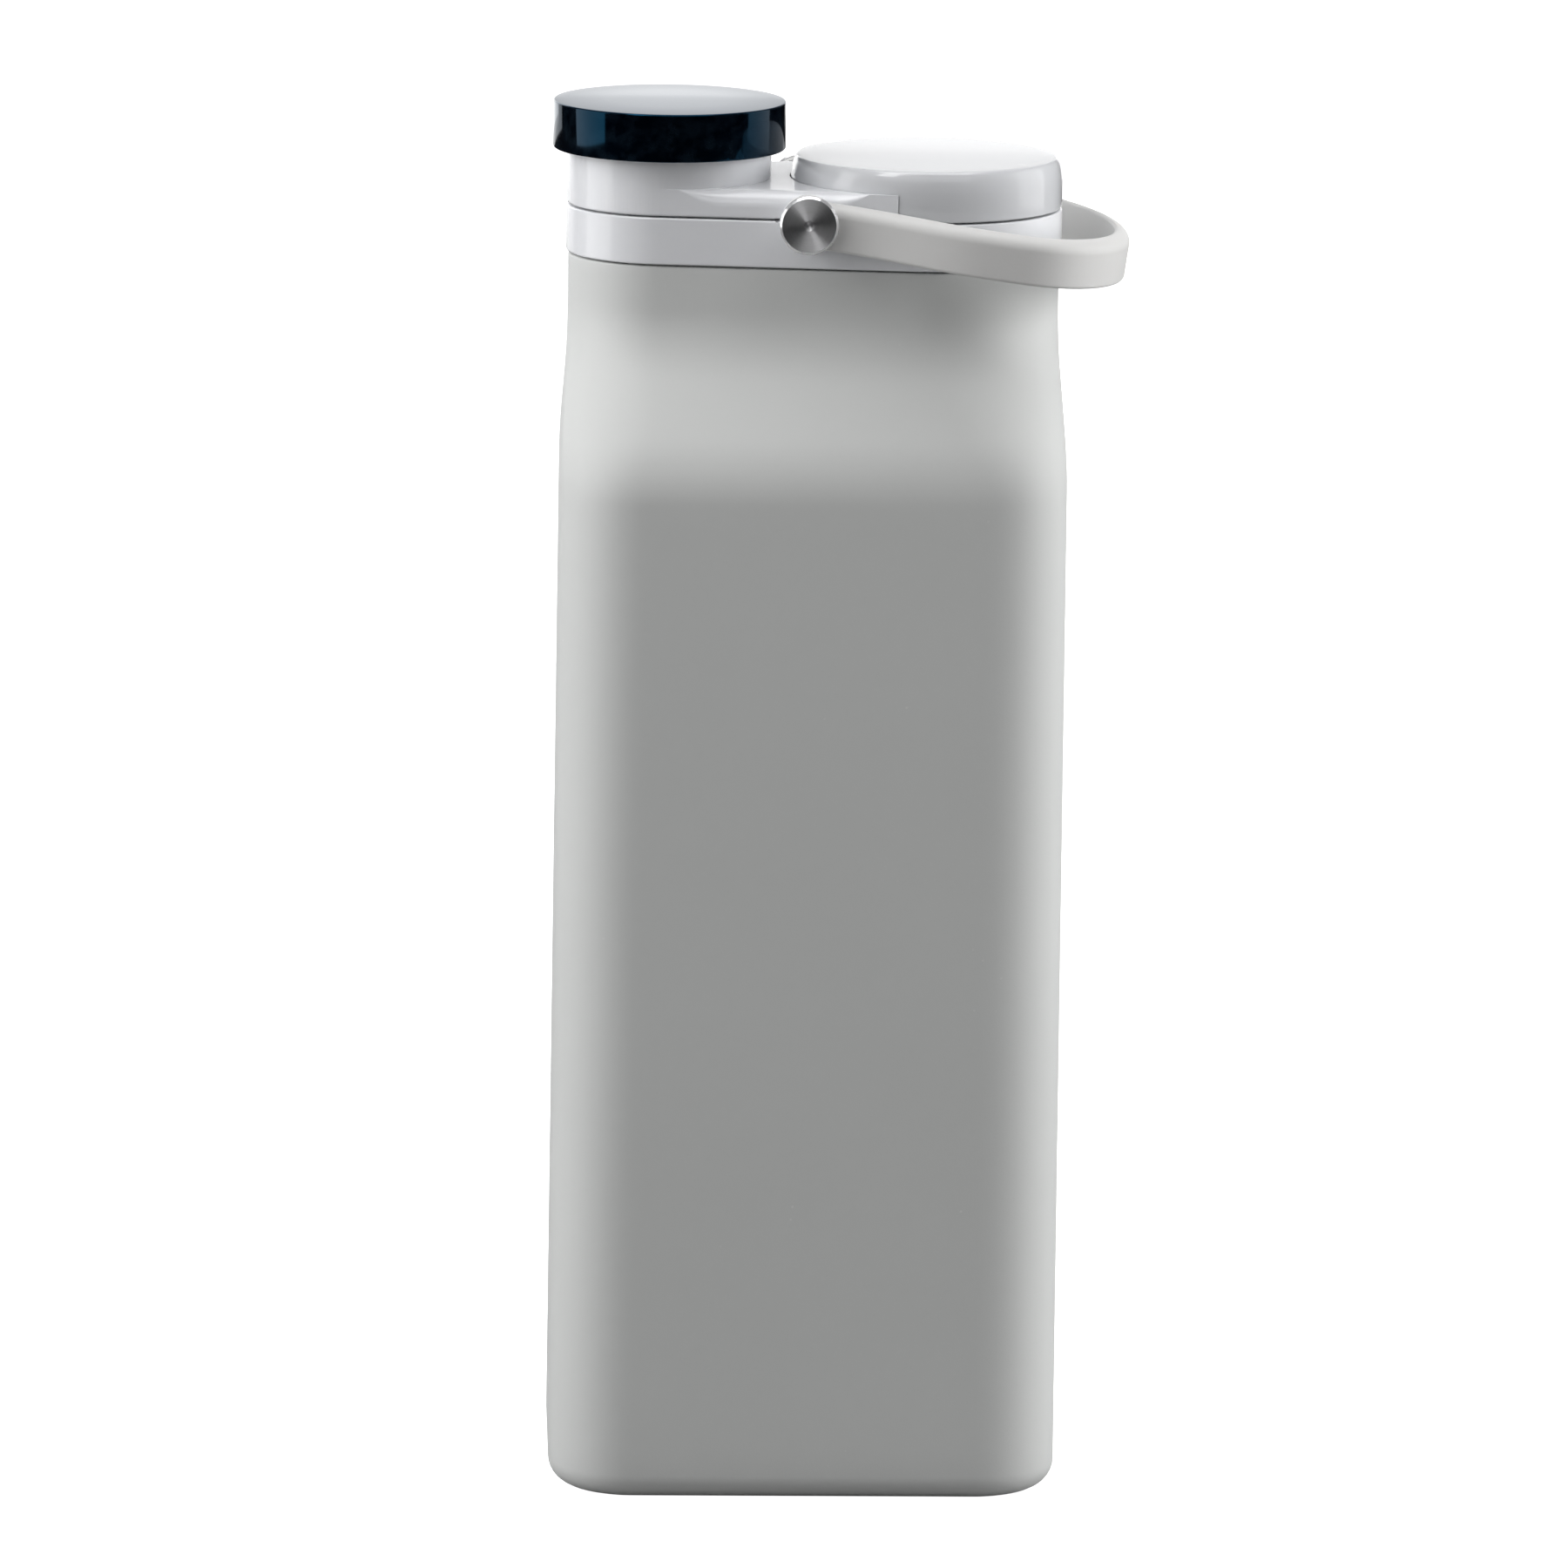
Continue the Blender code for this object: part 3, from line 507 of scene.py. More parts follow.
def wall_at(z):
    """Wall of the body, which thickens into the lip."""
    share = clamped((z - BODY_TOP_Z + LIP_DEPTH + LIP_BLEND) / LIP_BLEND)
    return BODY_WALL + (LIP_INNER - BODY_TUCK - BODY_WALL) * eased(share)


# Pieces.

def silicone_body():
    """The soft body as the one moulding that it is, from its flat foot to the lip inside the band."""
    foot = bend(FOOT_ROUND, FOOT_ROUND, FOOT_ROUND, 270, 180)
    outer = [body_ring(z, inset) for inset, z in foot]
    outer += [body_ring(z, 0.0) for z in spread(WALL_RINGS, FOOT_ROUND, GABLE_FOOT_Z)[1:]]
    outer += [body_ring(z, 0.0) for z in spread(GABLE_RINGS, GABLE_FOOT_Z, GABLE_TOP_Z)[1:]]
    edge_foot = BODY_TOP_Z - EDGE_EASE
    outer += [body_ring(z, 0.0) for z in spread(BODY_NECK_RINGS, GABLE_TOP_Z, edge_foot)[1:]]
    edge = bend(BODY_TUCK + EDGE_EASE, edge_foot, EDGE_EASE, 180, 90, LIP_EDGE_STEPS)[1:]
    lip = head_rings(edge + [
        (LIP_OUTER, BODY_TOP_Z),
        (LIP_OUTER, LIP_TOP_Z - EDGE_EASE),
        (LIP_OUTER + EDGE_EASE, LIP_TOP_Z),
        (LIP_INNER, LIP_TOP_Z),
    ])
    inner_top = BODY_TOP_Z - LIP_DEPTH
    inner_foot = BODY_FLOOR + FOOT_ROUND
    inner = [body_ring(z, wall_at(z)) for z in spread(INNER_GABLE_RINGS, inner_top, GABLE_FOOT_Z)]
    inner += [body_ring(z, BODY_WALL) for z in spread(INNER_WALL_RINGS, GABLE_FOOT_Z, inner_foot)[1:]]
    floor_bend = bend(FOOT_ROUND + BODY_WALL, inner_foot, FOOT_ROUND, 180, 270)
    inner += [body_ring(z, inset) for inset, z in floor_bend[1:]]
    return lofted("silicone_body", outer + lip + inner)


def collar_band():
    """Glossy band with eased edges, notched for the pivots' pads."""
    low, high = BAND_LOW.z, BAND_HIGH.z
    profile = bend(EDGE_EASE, low + EDGE_EASE, EDGE_EASE, 270, 180, EASE_STEPS)
    profile += bend(EDGE_EASE, high - EDGE_EASE, EDGE_EASE, 180, 90, EASE_STEPS)
    profile += [(BAND_WALL, high), (BAND_WALL, low)]
    piece = lofted("collar_band_moulding", head_rings(profile), closed=True)
    reach = PAD_FACE + PAD_THICKNESS
    steps = [(pivot_rod("pad_notch", PAD_RADIUS + SEAM, -reach, reach, 1), "DIFFERENCE")]
    steps += [(seam_relief(name, side), "DIFFERENCE") for name, side in SIDES.items()]
    join_shapes(piece, steps)
    return piece


def run_out(distance, start, full):
    """Share of the full edge radius at a distance from where a neck's circle begins."""
    return math.sin(math.pi / 2 * clamped((distance - start) / (full - start)))


def deck_rounds():
    """Radius of the deck's upper edge at each point of the outline, run out before both necks' circles."""
    slope = Vector((math.cos(SIDE_SLOPE), math.sin(SIDE_SLOPE)))
    rounds = []
    for x, y in head_outline(0.0):
        from_neck = Vector((x - NECK_AXIS_X, abs(y))).dot(slope)
        from_seat = -Vector((x - LID_AXIS_X, abs(y))).dot(slope)
        share = min(run_out(from_neck, *NECK_RUN_OUT), run_out(from_seat, *SEAT_RUN_OUT))
        rounds.append(max(DECK_LEAST_ROUND, DECK_ROUND * share))
    return rounds


def deck_edge_rings():
    """Rings up the deck's rounded edge, whose radius changes along the outline."""
    rounds = deck_rounds()
    outer = head_outline(0.0)
    inner = head_outline(DECK_ROUND)
    rings = []
    for angle in spread(DECK_EDGE_RINGS, 0.0, math.pi / 2):
        ring = []
        for (x, y), (inner_x, inner_y), radius in zip(outer, inner, rounds):
            share = radius * (1.0 - math.cos(angle)) / DECK_ROUND
            z = DECK_TOP_Z - radius * (1.0 - math.sin(angle))
            ring.append((x + (inner_x - x) * share, y + (inner_y - y) * share, z))
        rings.append(ring)
    return rings


def shoulder_shell():
    """Skirt, ledge and raised deck as one loft, before the necks and the lid's seat."""
    profile = [
        (SKIRT_OUTER, SKIRT_FOOT_Z),
        (SKIRT_OUTER, LEDGE_Z),
        (LIP_OUTER, LEDGE_Z),
        (LIP_OUTER, DECK_FOOT_Z),
    ]
    profile += bend(EDGE_EASE, DECK_FOOT_Z + EDGE_EASE, EDGE_EASE, 270, 180, EASE_STEPS)
    return lofted("shoulder_moulding", head_rings(profile) + deck_edge_rings())


def head_prism(name, inset, low, high):
    return lofted(name, head_rings([(inset, low), (inset, high)]))


def neck_edge(radius, top):
    """Rounded outer edge at the top of a neck."""
    return bend(radius - NECK_ROUND, top - NECK_ROUND, NECK_ROUND, 0, 90, SMALL_ROUND_STEPS)


def drink_neck():
    """Collar flush with the shoulder's left end, then the narrower threaded spout."""
    foot = DECK_FOOT_Z + EDGE_EASE
    profile = [(0.0, foot), (NECK_END_RADIUS, foot)]
    profile += neck_edge(NECK_END_RADIUS, COLLAR_TOP_Z)
    profile.append((DRINK_NECK_RADIUS, COLLAR_TOP_Z))
    profile += neck_edge(DRINK_NECK_RADIUS, DECK_HIGH_Z)
    profile.append((0.0, DECK_HIGH_Z))
    return post("drink_neck", NECK_AXIS_X, profile)


def fill_neck():
    foot = BAND_HIGH.z - FLOOR_WALL / 2
    profile = [(0.0, foot), (FILL_NECK_RADIUS, foot)]
    profile += neck_edge(FILL_NECK_RADIUS, FILL_NECK_TOP_Z)
    profile.append((0.0, FILL_NECK_TOP_Z))
    return post("fill_neck", LID_AXIS_X, profile)


def seam_relief(name, side):
    """Cutter for the eased corner where the seam over the band runs out at a pivot."""
    rod = pivot_rod("relief_" + name, SEAM_RELIEF, PAD_FACE - PAD_THICKNESS, DISC_FACE, side)
    rod.location.x -= DISC_RADIUS + SEAM_RELIEF / 2
    return rod


def thread_ridge(name, axis_x, radius, low, high, start):
    """One start of a screw thread on a neck: a ridge that climbs and tapers out at both ends."""
    climb = high - low
    rings = []
    for share in spread(THREAD_STEPS + 1, 0.0, 1.0):
        angle = start + math.tau * share * climb / THREAD_LEAD
        stand = THREAD_STAND * clamped(min(share, 1.0 - share) / THREAD_RISE_SHARE) - THREAD_SINK
        z = low + climb * share
        section = (
            (-THREAD_STAND, -THREAD_FOOT / 2),
            (0.0, -THREAD_FOOT / 2),
            (stand, -THREAD_CREST / 2),
            (stand, THREAD_CREST / 2),
            (0.0, THREAD_FOOT / 2),
            (-THREAD_STAND, THREAD_FOOT / 2),
        )
        ring = []
        for out, up in section:
            reach = radius + out
            ring.append((axis_x + reach * math.cos(angle), reach * math.sin(angle), z + up))
        rings.append(ring)
    return lofted(name, rings)


def neck_threads():
    """Ridges of both necks, as (tool, operation) steps."""
    margin = THREAD_FOOT / 2 + THREAD_MARGIN
    steps = []
    for start in range(THREAD_STARTS):
        turn = math.tau * start / THREAD_STARTS
        drink = (DRINK_NECK_RADIUS, COLLAR_TOP_Z + margin, DECK_HIGH_Z - NECK_ROUND - margin)
        fill = (FILL_NECK_RADIUS, BAND_HIGH.z + margin, FILL_NECK_TOP_Z - NECK_ROUND - margin)
        steps.append((thread_ridge("drink_thread_%d" % start, NECK_AXIS_X, *drink, turn), "UNION"))
        steps.append((thread_ridge("fill_thread_%d" % start, LID_AXIS_X, *fill, turn), "UNION"))
    return steps


def pivot_boss(name, side):
    """Pad and buried boss that carry a strap pivot."""
    foot = PAD_FACE - PAD_THICKNESS
    profile = [
        (0.0, PAD_FACE - BOSS_DEPTH),
        (BOSS_RADIUS, PAD_FACE - BOSS_DEPTH),
        (BOSS_RADIUS, foot),
        (PAD_RADIUS, foot),
        (PAD_RADIUS, PAD_FACE),
        (0.0, PAD_FACE),
    ]
    return lay_on_pivot(turned("boss_" + name, profile, PIVOT_STEPS), side)


def deck_hollow():
    """Cutter for the room under the deck, which stops at the wall round the lid's seat."""
    hollow = head_prism("deck_hollow", SKIRT_INNER + SEAM, LEDGE_Z - FLOOR_WALL, DECK_TOP_Z - FLOOR_WALL)
    wall_radius = LID_END_RADIUS + SEAT_GAP + FLOOR_WALL
    seat_wall = plain_post("seat_wall", LID_AXIS_X, wall_radius, SKIRT_FOOT_Z, DECK_TOP_Z)
    join_shapes(hollow, [(seat_wall, "DIFFERENCE")])
    hollow.modifiers.clear()
    return hollow


def shoulder():
    """The moulded head: deck, two threaded necks, the lid's seat, the skirt and the pivots' bosses."""
    piece = shoulder_shell()
    steps = [(drink_neck(), "UNION")]
    steps += [(pivot_boss(name, side), "UNION") for name, side in SIDES.items()]
    steps += [(seam_relief(name, side), "DIFFERENCE") for name, side in SIDES.items()]
    seat = plain_post("lid_seat", LID_AXIS_X, LID_END_RADIUS + SEAT_GAP, BAND_HIGH.z, DECK_TOP_Z + DECK_ROUND)
    steps.append((seat, "DIFFERENCE"))
    steps.append((fill_neck(), "UNION"))
    steps += neck_threads()
    throat = head_prism("throat", SKIRT_INNER, SKIRT_FOOT_Z - FLOOR_WALL, BAND_HIGH.z - FLOOR_WALL)
    steps.append((throat, "DIFFERENCE"))
    steps.append((deck_hollow(), "DIFFERENCE"))
    top = CAP_HIGH.z
    drink_bore = DRINK_NECK_RADIUS - NECK_WALL
    fill_bore = FILL_NECK_RADIUS - NECK_WALL
    steps.append((plain_post("drink_bore", NECK_AXIS_X, drink_bore, LEDGE_Z + FLOOR_WALL, top), "DIFFERENCE"))
    steps.append((plain_post("fill_bore", LID_AXIS_X, fill_bore, LEDGE_Z - FLOOR_WALL, top), "DIFFERENCE"))
    for name, side in SIDES.items():
        hole = pivot_rod("hole_" + name, INSERT_HOLE_RADIUS, PAD_FACE - INSERT_DEPTH, DISC_FACE, side)
        steps.append((hole, "DIFFERENCE"))
    join_shapes(piece, steps)
    return piece


def cap_cup(name, axis_x, foot_z, height, radius, edge_round, round_height, crown):
    """A screw cap's outer shell, mouth down, with an elliptic top edge and a slightly crowned top."""
    rim_top = height - crown
    profile = [
        (0.0, height - CAP_ROOF),
        (radius - CAP_WALL, height - CAP_ROOF),
        (radius - CAP_WALL, 0.0),
        (radius - EDGE_EASE, 0.0),
    ]
    profile += bend(radius - EDGE_EASE, EDGE_EASE, EDGE_EASE, -90, 0, EASE_STEPS)[1:]
    flat = radius - edge_round
    for out, up in bend(0.0, 0.0, 1.0, 0, 90, CAP_EDGE_STEPS):
        profile.append((flat + edge_round * out, rim_top - round_height * (1.0 - up)))
    for share in spread(CAP_TOP_RINGS, 1.0, 0.0)[1:]:
        profile.append((flat * share, rim_top + crown * (1.0 - share * share)))
    piece = turned(name, profile)
    piece.location = (axis_x, 0.0, foot_z)
    return piece


def drink_cap():
    radius = (CAP_HIGH.x - CAP_LOW.x) / 2
    height = CAP_HIGH.z - CAP_LOW.z
    return cap_cup(
        "drink_cap_moulding", NECK_AXIS_X, CAP_LOW.z, height, radius, CAP_ROUND, CAP_ROUND, CAP_CROWN
    )


def fill_lid():
    radius = (LID_HIGH.x - LID_LOW.x) / 2
    height = LID_HIGH.z - LID_LOW.z
    return cap_cup(
        "fill_lid_moulding", LID_AXIS_X, LID_LOW.z, height, radius, LID_ROUND, LID_ROUND_HEIGHT, LID_CROWN
    )


def strap_section(width):
    """Section of the strap as (outward, upward) points; its upper outer edge is rounded off broadly."""
    across = STRAP_THICKNESS / 2 - STRAP_ROUND
    up = width / 2 - STRAP_ROUND
    brow_across = STRAP_THICKNESS / 2 - STRAP_BROW_ROUND
    brow_up = width / 2 - STRAP_BROW_ROUND
    points = bend(brow_across, brow_up, STRAP_BROW_ROUND, 0, 90, STRAP_BROW_STEPS)
    points += bend(-across, up, STRAP_ROUND, 90, 180, SMALL_ROUND_STEPS)
    points += bend(-across, -up, STRAP_ROUND, 180, 270, SMALL_ROUND_STEPS)
    points += bend(across, -up, STRAP_ROUND, 270, 360, SMALL_ROUND_STEPS)
    return points


def strap_route():
    """Stations along the strap as (x, y, direction of its outer face, share of the way to its far end).

    Each arm bows out beside the head, and the far end is half an ellipse.
    """
    start = EYE_FOOT + STRAP_STAND + STRAP_THICKNESS / 2
    end_x = STRAP_REACH - STRAP_END_LENGTH
    end_along = STRAP_END_LENGTH - STRAP_THICKNESS / 2
    end_across = STRAP_HALF_DEPTH - STRAP_THICKNESS / 2
    bow = end_across - start
    front = []
    for x in [0.0] + spread(STRAP_ARM_STEPS, STRAP_EYE_RADIUS, end_x)[:-1]:
        share = clamped((x - STRAP_EYE_RADIUS) / STRAP_BOW_LENGTH)
        slope = bow / STRAP_BOW_LENGTH * eased_slope(share)
        facing = -math.pi / 2 - math.atan(slope)
        front.append((x, -start - bow * eased(share), facing, x / STRAP_REACH))
    loop = []
    for angle in spread(STRAP_END_STEPS, -math.pi / 2, math.pi / 2):
        along, across = math.cos(angle), math.sin(angle)
        facing = math.atan2(across / end_across, along / end_along)
        x = end_x + end_along * along
        loop.append((x, end_across * across, facing, x / STRAP_REACH))
    back = [(x, -y, -facing, share) for x, y, facing, share in reversed(front)]
    return front + loop + back


def strap_eye(name, side):
    """The round, flat end of the strap about a pivot, before it is bored."""
    profile = [
        (0.0, EYE_FOOT),
        (STRAP_EYE_RADIUS, EYE_FOOT),
        (STRAP_EYE_RADIUS, EYE_FACE - STRAP_EYE_EASE),
        (STRAP_EYE_RADIUS - STRAP_EYE_EASE, EYE_FACE),
        (0.0, EYE_FACE),
    ]
    eye = turned("strap_eye_" + name, profile, PIVOT_STEPS)
    eye.rotation_euler = (-side * math.pi / 2, 0.0, 0.0)
    return eye


def carry_strap():
    """Soft strap from pivot to pivot round the lid's end, with a round eye at each pivot."""
    rings = []
    for x, y, facing, share in strap_route():
        section = strap_section(STRAP_WIDTH + STRAP_SWELL * share)
        rings.append([(x + out * math.cos(facing), y + out * math.sin(facing), up) for out, up in section])
    piece = lofted("carry_strap_moulding", rings)
    steps = [(strap_eye(name, side), "UNION") for name, side in SIDES.items()]
    bore = pivot_rod("strap_bore", STRAP_BORE_RADIUS, -DISC_FACE, DISC_FACE, 1)
    bore.location = (0.0, 0.0, 0.0)
    steps.append((bore, "DIFFERENCE"))
    join_shapes(piece, steps)
    droop = Matrix.Rotation(STRAP_DROOP, 4, "Y")
    piece.data.transform(Matrix.Translation((PIVOT_X, 0.0, PIVOT_Z)) @ droop)
    return piece


def pivot_disc(name, side):
    """Spun steel disc on its shank: polished chamfer, faintly dished face and a centre dimple."""
    shank_end = SCREW_LOW.y
    foot = DISC_FACE - DISC_THICKNESS
    face = DISC_RADIUS - DISC_CHAMFER
    profile = [
        (0.0, shank_end),
        (SHANK_RADIUS - SHANK_EASE, shank_end),
        (SHANK_RADIUS, shank_end + SHANK_EASE),
        (SHANK_RADIUS, foot),
        (DISC_RADIUS - SHANK_EASE, foot),
        (DISC_RADIUS, foot + SHANK_EASE),
        (DISC_RADIUS, DISC_FACE - DISC_CHAMFER - DISC_EASE),
        (DISC_RADIUS - DISC_EASE, DISC_FACE - DISC_CHAMFER + DISC_EASE),
        (face + DISC_EASE, DISC_FACE - DISC_EASE),
        (face, DISC_FACE),
    ]
    for share in spread(DISC_FACE_RINGS, 1.0, DIMPLE_RADIUS / face)[1:]:
        profile.append((face * share, DISC_FACE - DISC_DISH * (1.0 - share)))
    dimple_floor = DISC_FACE - DISC_DISH - DIMPLE_DEPTH
    for share in spread(DIMPLE_RINGS, 1.0, 0.0)[1:]:
        profile.append((DIMPLE_RADIUS * share, dimple_floor + DIMPLE_DEPTH * share * share))
    return lay_on_pivot(turned("pivot_disc_" + name, profile, PIVOT_STEPS), side)


# Finishes. Shared effects are node groups, each used with its own values.

def add_node(tree, kind, inputs=None, **settings):
    """Add a node, set its options, and fill its inputs from values or other nodes' outputs."""
    node = tree.nodes.new(kind)
    for key, value in settings.items():
        setattr(node, key, value)
    for key, value in (inputs or {}).items():
        if isinstance(value, bpy.types.NodeSocket):
            tree.links.new(value, node.inputs[key])
        else:
            node.inputs[key].default_value = value
    return node


def maths(tree, operation, *values):
    """The result of a sum on values or other nodes' outputs."""
    return add_node(tree, "ShaderNodeMath", dict(enumerate(values)), operation=operation).outputs[0]


def ranged(tree, value, low=0.0, high=1.0, to_low=0.0, to_high=1.0):
    """A value's range laid on another and held at its ends."""
    inputs = {"Value": value, "From Min": low, "From Max": high, "To Min": to_low, "To Max": to_high}
    return add_node(tree, "ShaderNodeMapRange", inputs).outputs[0]


def surface_point(tree):
    """Object coordinates of the surface, in metres."""
    return add_node(tree, "ShaderNodeTexCoord").outputs["Object"]


def noise(tree, where, scale, detail, roughness=0.5, distortion=0.0):
    inputs = {"Vector": where, "Scale": scale, "Detail": detail, "Roughness": roughness}
    inputs["Distortion"] = distortion
    return add_node(tree, "ShaderNodeTexNoise", inputs).outputs[0]


def mix_colour(tree, factor, first, second):
    node = add_node(tree, "ShaderNodeMix", {MIX_FACTOR: factor}, data_type="RGBA")
    for socket, colour in ((MIX_FIRST, first), (MIX_SECOND, second)):
        if isinstance(colour, bpy.types.NodeSocket):
            tree.links.new(colour, node.inputs[socket])
        else:
            node.inputs[socket].default_value = (*colour, 1.0)
    return node.outputs[MIX_RESULT]


def effect_group(name, inputs, outputs):
    """Start a node group with named float inputs and outputs."""
    group = bpy.data.node_groups.new(name, "ShaderNodeTree")
    for label, value in inputs.items():
        socket = group.interface.new_socket(name=label, in_out="INPUT", socket_type="NodeSocketFloat")
        socket.default_value = value
    for label in outputs:
        group.interface.new_socket(name=label, in_out="OUTPUT", socket_type="NodeSocketFloat")
    given = group.nodes.new("NodeGroupInput")
    result = group.nodes.new("NodeGroupOutput")
    return group, given.outputs, result


def feed(tree, node, sources):
    """Drive a node's named inputs from other nodes' outputs."""
    for label, source in sources.items():
        tree.links.new(source, node.inputs[label])


def mould_grain_group():
    """Fine spark-eroded grain of a mould, as height, and a faint cloudiness of tone."""
    defaults = {"Grain per metre": 3000.0, "Cloud per metre": 30.0}
    group, given, result = effect_group("mould_grain", defaults, ["Height", "Cloud"])
    where = surface_point(group)
    fine = noise(group, where, given["Grain per metre"], detail=3.0, roughness=0.6)
    cloud = noise(group, where, given["Cloud per metre"], detail=2.0, roughness=0.45)
    feed(group, result, {"Height": fine, "Cloud": cloud})
    return group


def handling_group():
    """Faint smears that hands leave, as a change of roughness."""
    defaults = {"Amount": 0.05, "Base roughness": 0.3}
    group, given, result = effect_group("handling_smears", defaults, ["Roughness"])
    upright = {"Vector": surface_point(group), "Scale": (1.0, 1.0, 0.45)}
    stretched = add_node(group, "ShaderNodeMapping", upright).outputs[0]
    smear = noise(group, stretched, scale=55.0, detail=4.0, roughness=0.6, distortion=0.6)
    centred = maths(group, "SUBTRACT", smear, 0.5)
    scaled = maths(group, "MULTIPLY_ADD", centred, given["Amount"], given["Base roughness"])
    feed(group, result, {"Roughness": scaled})
    return group


def edge_rub_group():
    """Mask of the outer edges that rub first, broken into specks."""
    group, given, result = effect_group("edge_rub", {"Reach": 0.06}, ["Mask"])
    pointiness = add_node(group, "ShaderNodeNewGeometry").outputs["Pointiness"]
    edge = ranged(group, pointiness, low=0.5, high=maths(group, "ADD", given["Reach"], 0.5))
    speck = noise(group, surface_point(group), scale=420.0, detail=3.0)
    broken = ranged(group, speck, low=0.42, high=0.62)
    feed(group, result, {"Mask": maths(group, "MULTIPLY", edge, broken)})
    return group


def lint_group():
    """Sparse specks of dust that cling to silicone."""
    defaults = {"Specks per metre": 260.0, "Size": 0.05}
    group, given, result = effect_group("lint", defaults, ["Mask"])
    where = surface_point(group)
    grid = {"Vector": where, "Scale": given["Specks per metre"], "Randomness": 1.0}
    distance = add_node(group, "ShaderNodeTexVoronoi", grid).outputs["Distance"]
    near = maths(group, "LESS_THAN", distance, given["Size"])
    chosen = ranged(group, noise(group, where, scale=90.0, detail=2.0), low=0.58, high=0.72)
    feed(group, result, {"Mask": maths(group, "MULTIPLY", near, chosen)})
    return group


def turned_rings_group():
    """Concentric tool marks about local Z, as height, with a slow change from ring to ring."""
    outputs = ["Height", "Tone", "Radius"]
    group, given, result = effect_group("turned_rings", {"Rings per metre": 11000.0}, outputs)
    split = add_node(group, "ShaderNodeSeparateXYZ", {"Vector": surface_point(group)}).outputs
    x_square = maths(group, "MULTIPLY", split["X"], split["X"])
    square = maths(group, "MULTIPLY_ADD", split["Y"], split["Y"], x_square)
    radius = maths(group, "SQRT", square)
    turns = maths(group, "MULTIPLY", radius, given["Rings per metre"])
    wave = maths(group, "SINE", maths(group, "MULTIPLY", turns, math.tau))
    along = {"W": maths(group, "MULTIPLY", radius, TONES_PER_METRE), "Scale": 1.0, "Detail": 3.0}
    tone = add_node(group, "ShaderNodeTexNoise", along, noise_dimensions="1D").outputs[0]
    feed(group, result, {"Height": wave, "Tone": tone, "Radius": radius})
    return group


EFFECTS = {
    "grain": mould_grain_group(),
    "smears": handling_group(),
    "rub": edge_rub_group(),
    "lint": lint_group(),
    "rings": turned_rings_group(),
}


def effect(tree, key, **inputs):
    """Place a shared effect in a material with this material's own values."""
    node = add_node(tree, "ShaderNodeGroup", node_tree=EFFECTS[key])
    for label, value in inputs.items():
        node.inputs[label.replace("_", " ").capitalize()].default_value = value
    return node.outputs


def new_finish(name, constants):
    """A material whose shader has these constant inputs."""
    material = bpy.data.materials.new(name)
    material.use_nodes = True
    shader = material.node_tree.nodes["Principled BSDF"]
    for label, value in constants.items():
        shader.inputs[label].default_value = value
    return material, material.node_tree, shader


def bumped(tree, height, strength, distance):
    """The surface's normal with a height laid on it."""
    inputs = {"Height": height, "Strength": strength, "Distance": distance}
    return add_node(tree, "ShaderNodeBump", inputs).outputs["Normal"]


def soft_silicone(name, colours, roughness, sheen, lint_share):
    """Matt silicone: eroded grain, faint clouds, smears from handling and a little lint."""
    constants = {"IOR": 1.41, "Sheen Weight": sheen, "Sheen Roughness": 0.4}
    material, tree, shader = new_finish(name, constants)
    grain = effect(tree, "grain", grain_per_metre=2600.0, cloud_per_metre=26.0)
    lint = effect(tree, "lint", specks_per_metre=300.0, size=0.06)
    smears = effect(tree, "smears", amount=0.10, base_roughness=roughness)
    clouded = mix_colour(tree, grain["Cloud"], *colours)
    dusting = maths(tree, "MULTIPLY", lint["Mask"], lint_share)
    feed(tree, shader, {
        "Base Color": mix_colour(tree, dusting, clouded, LINT_COLOUR),
        "Roughness": smears["Roughness"],
        "Normal": bumped(tree, grain["Height"], strength=0.22, distance=0.05 * MM),
    })
    return material


def gloss_plastic(name, colours, rub_colour, roughness, coat, coat_roughness):
    """Polished moulding: barely uneven skin, faint smears, and edges that have rubbed a little."""
    constants = {"IOR": 1.5, "Coat Weight": coat, "Coat Roughness": coat_roughness}
    material, tree, shader = new_finish(name, constants)
    grain = effect(tree, "grain", grain_per_metre=420.0, cloud_per_metre=20.0)
    rub = effect(tree, "rub", reach=0.08)
    smears = effect(tree, "smears", amount=0.05, base_roughness=roughness)
    clouded = mix_colour(tree, grain["Cloud"], *colours)
    rubbed = maths(tree, "MULTIPLY", rub["Mask"], PLASTIC_RUB)
    feed(tree, shader, {
        "Base Color": mix_colour(tree, rubbed, clouded, rub_colour),
        "Roughness": maths(tree, "MULTIPLY_ADD", rub["Mask"], RUB_ROUGHNESS, smears["Roughness"]),
        "Normal": bumped(tree, grain["Height"], strength=0.05, distance=0.04 * MM),
    })
    return material


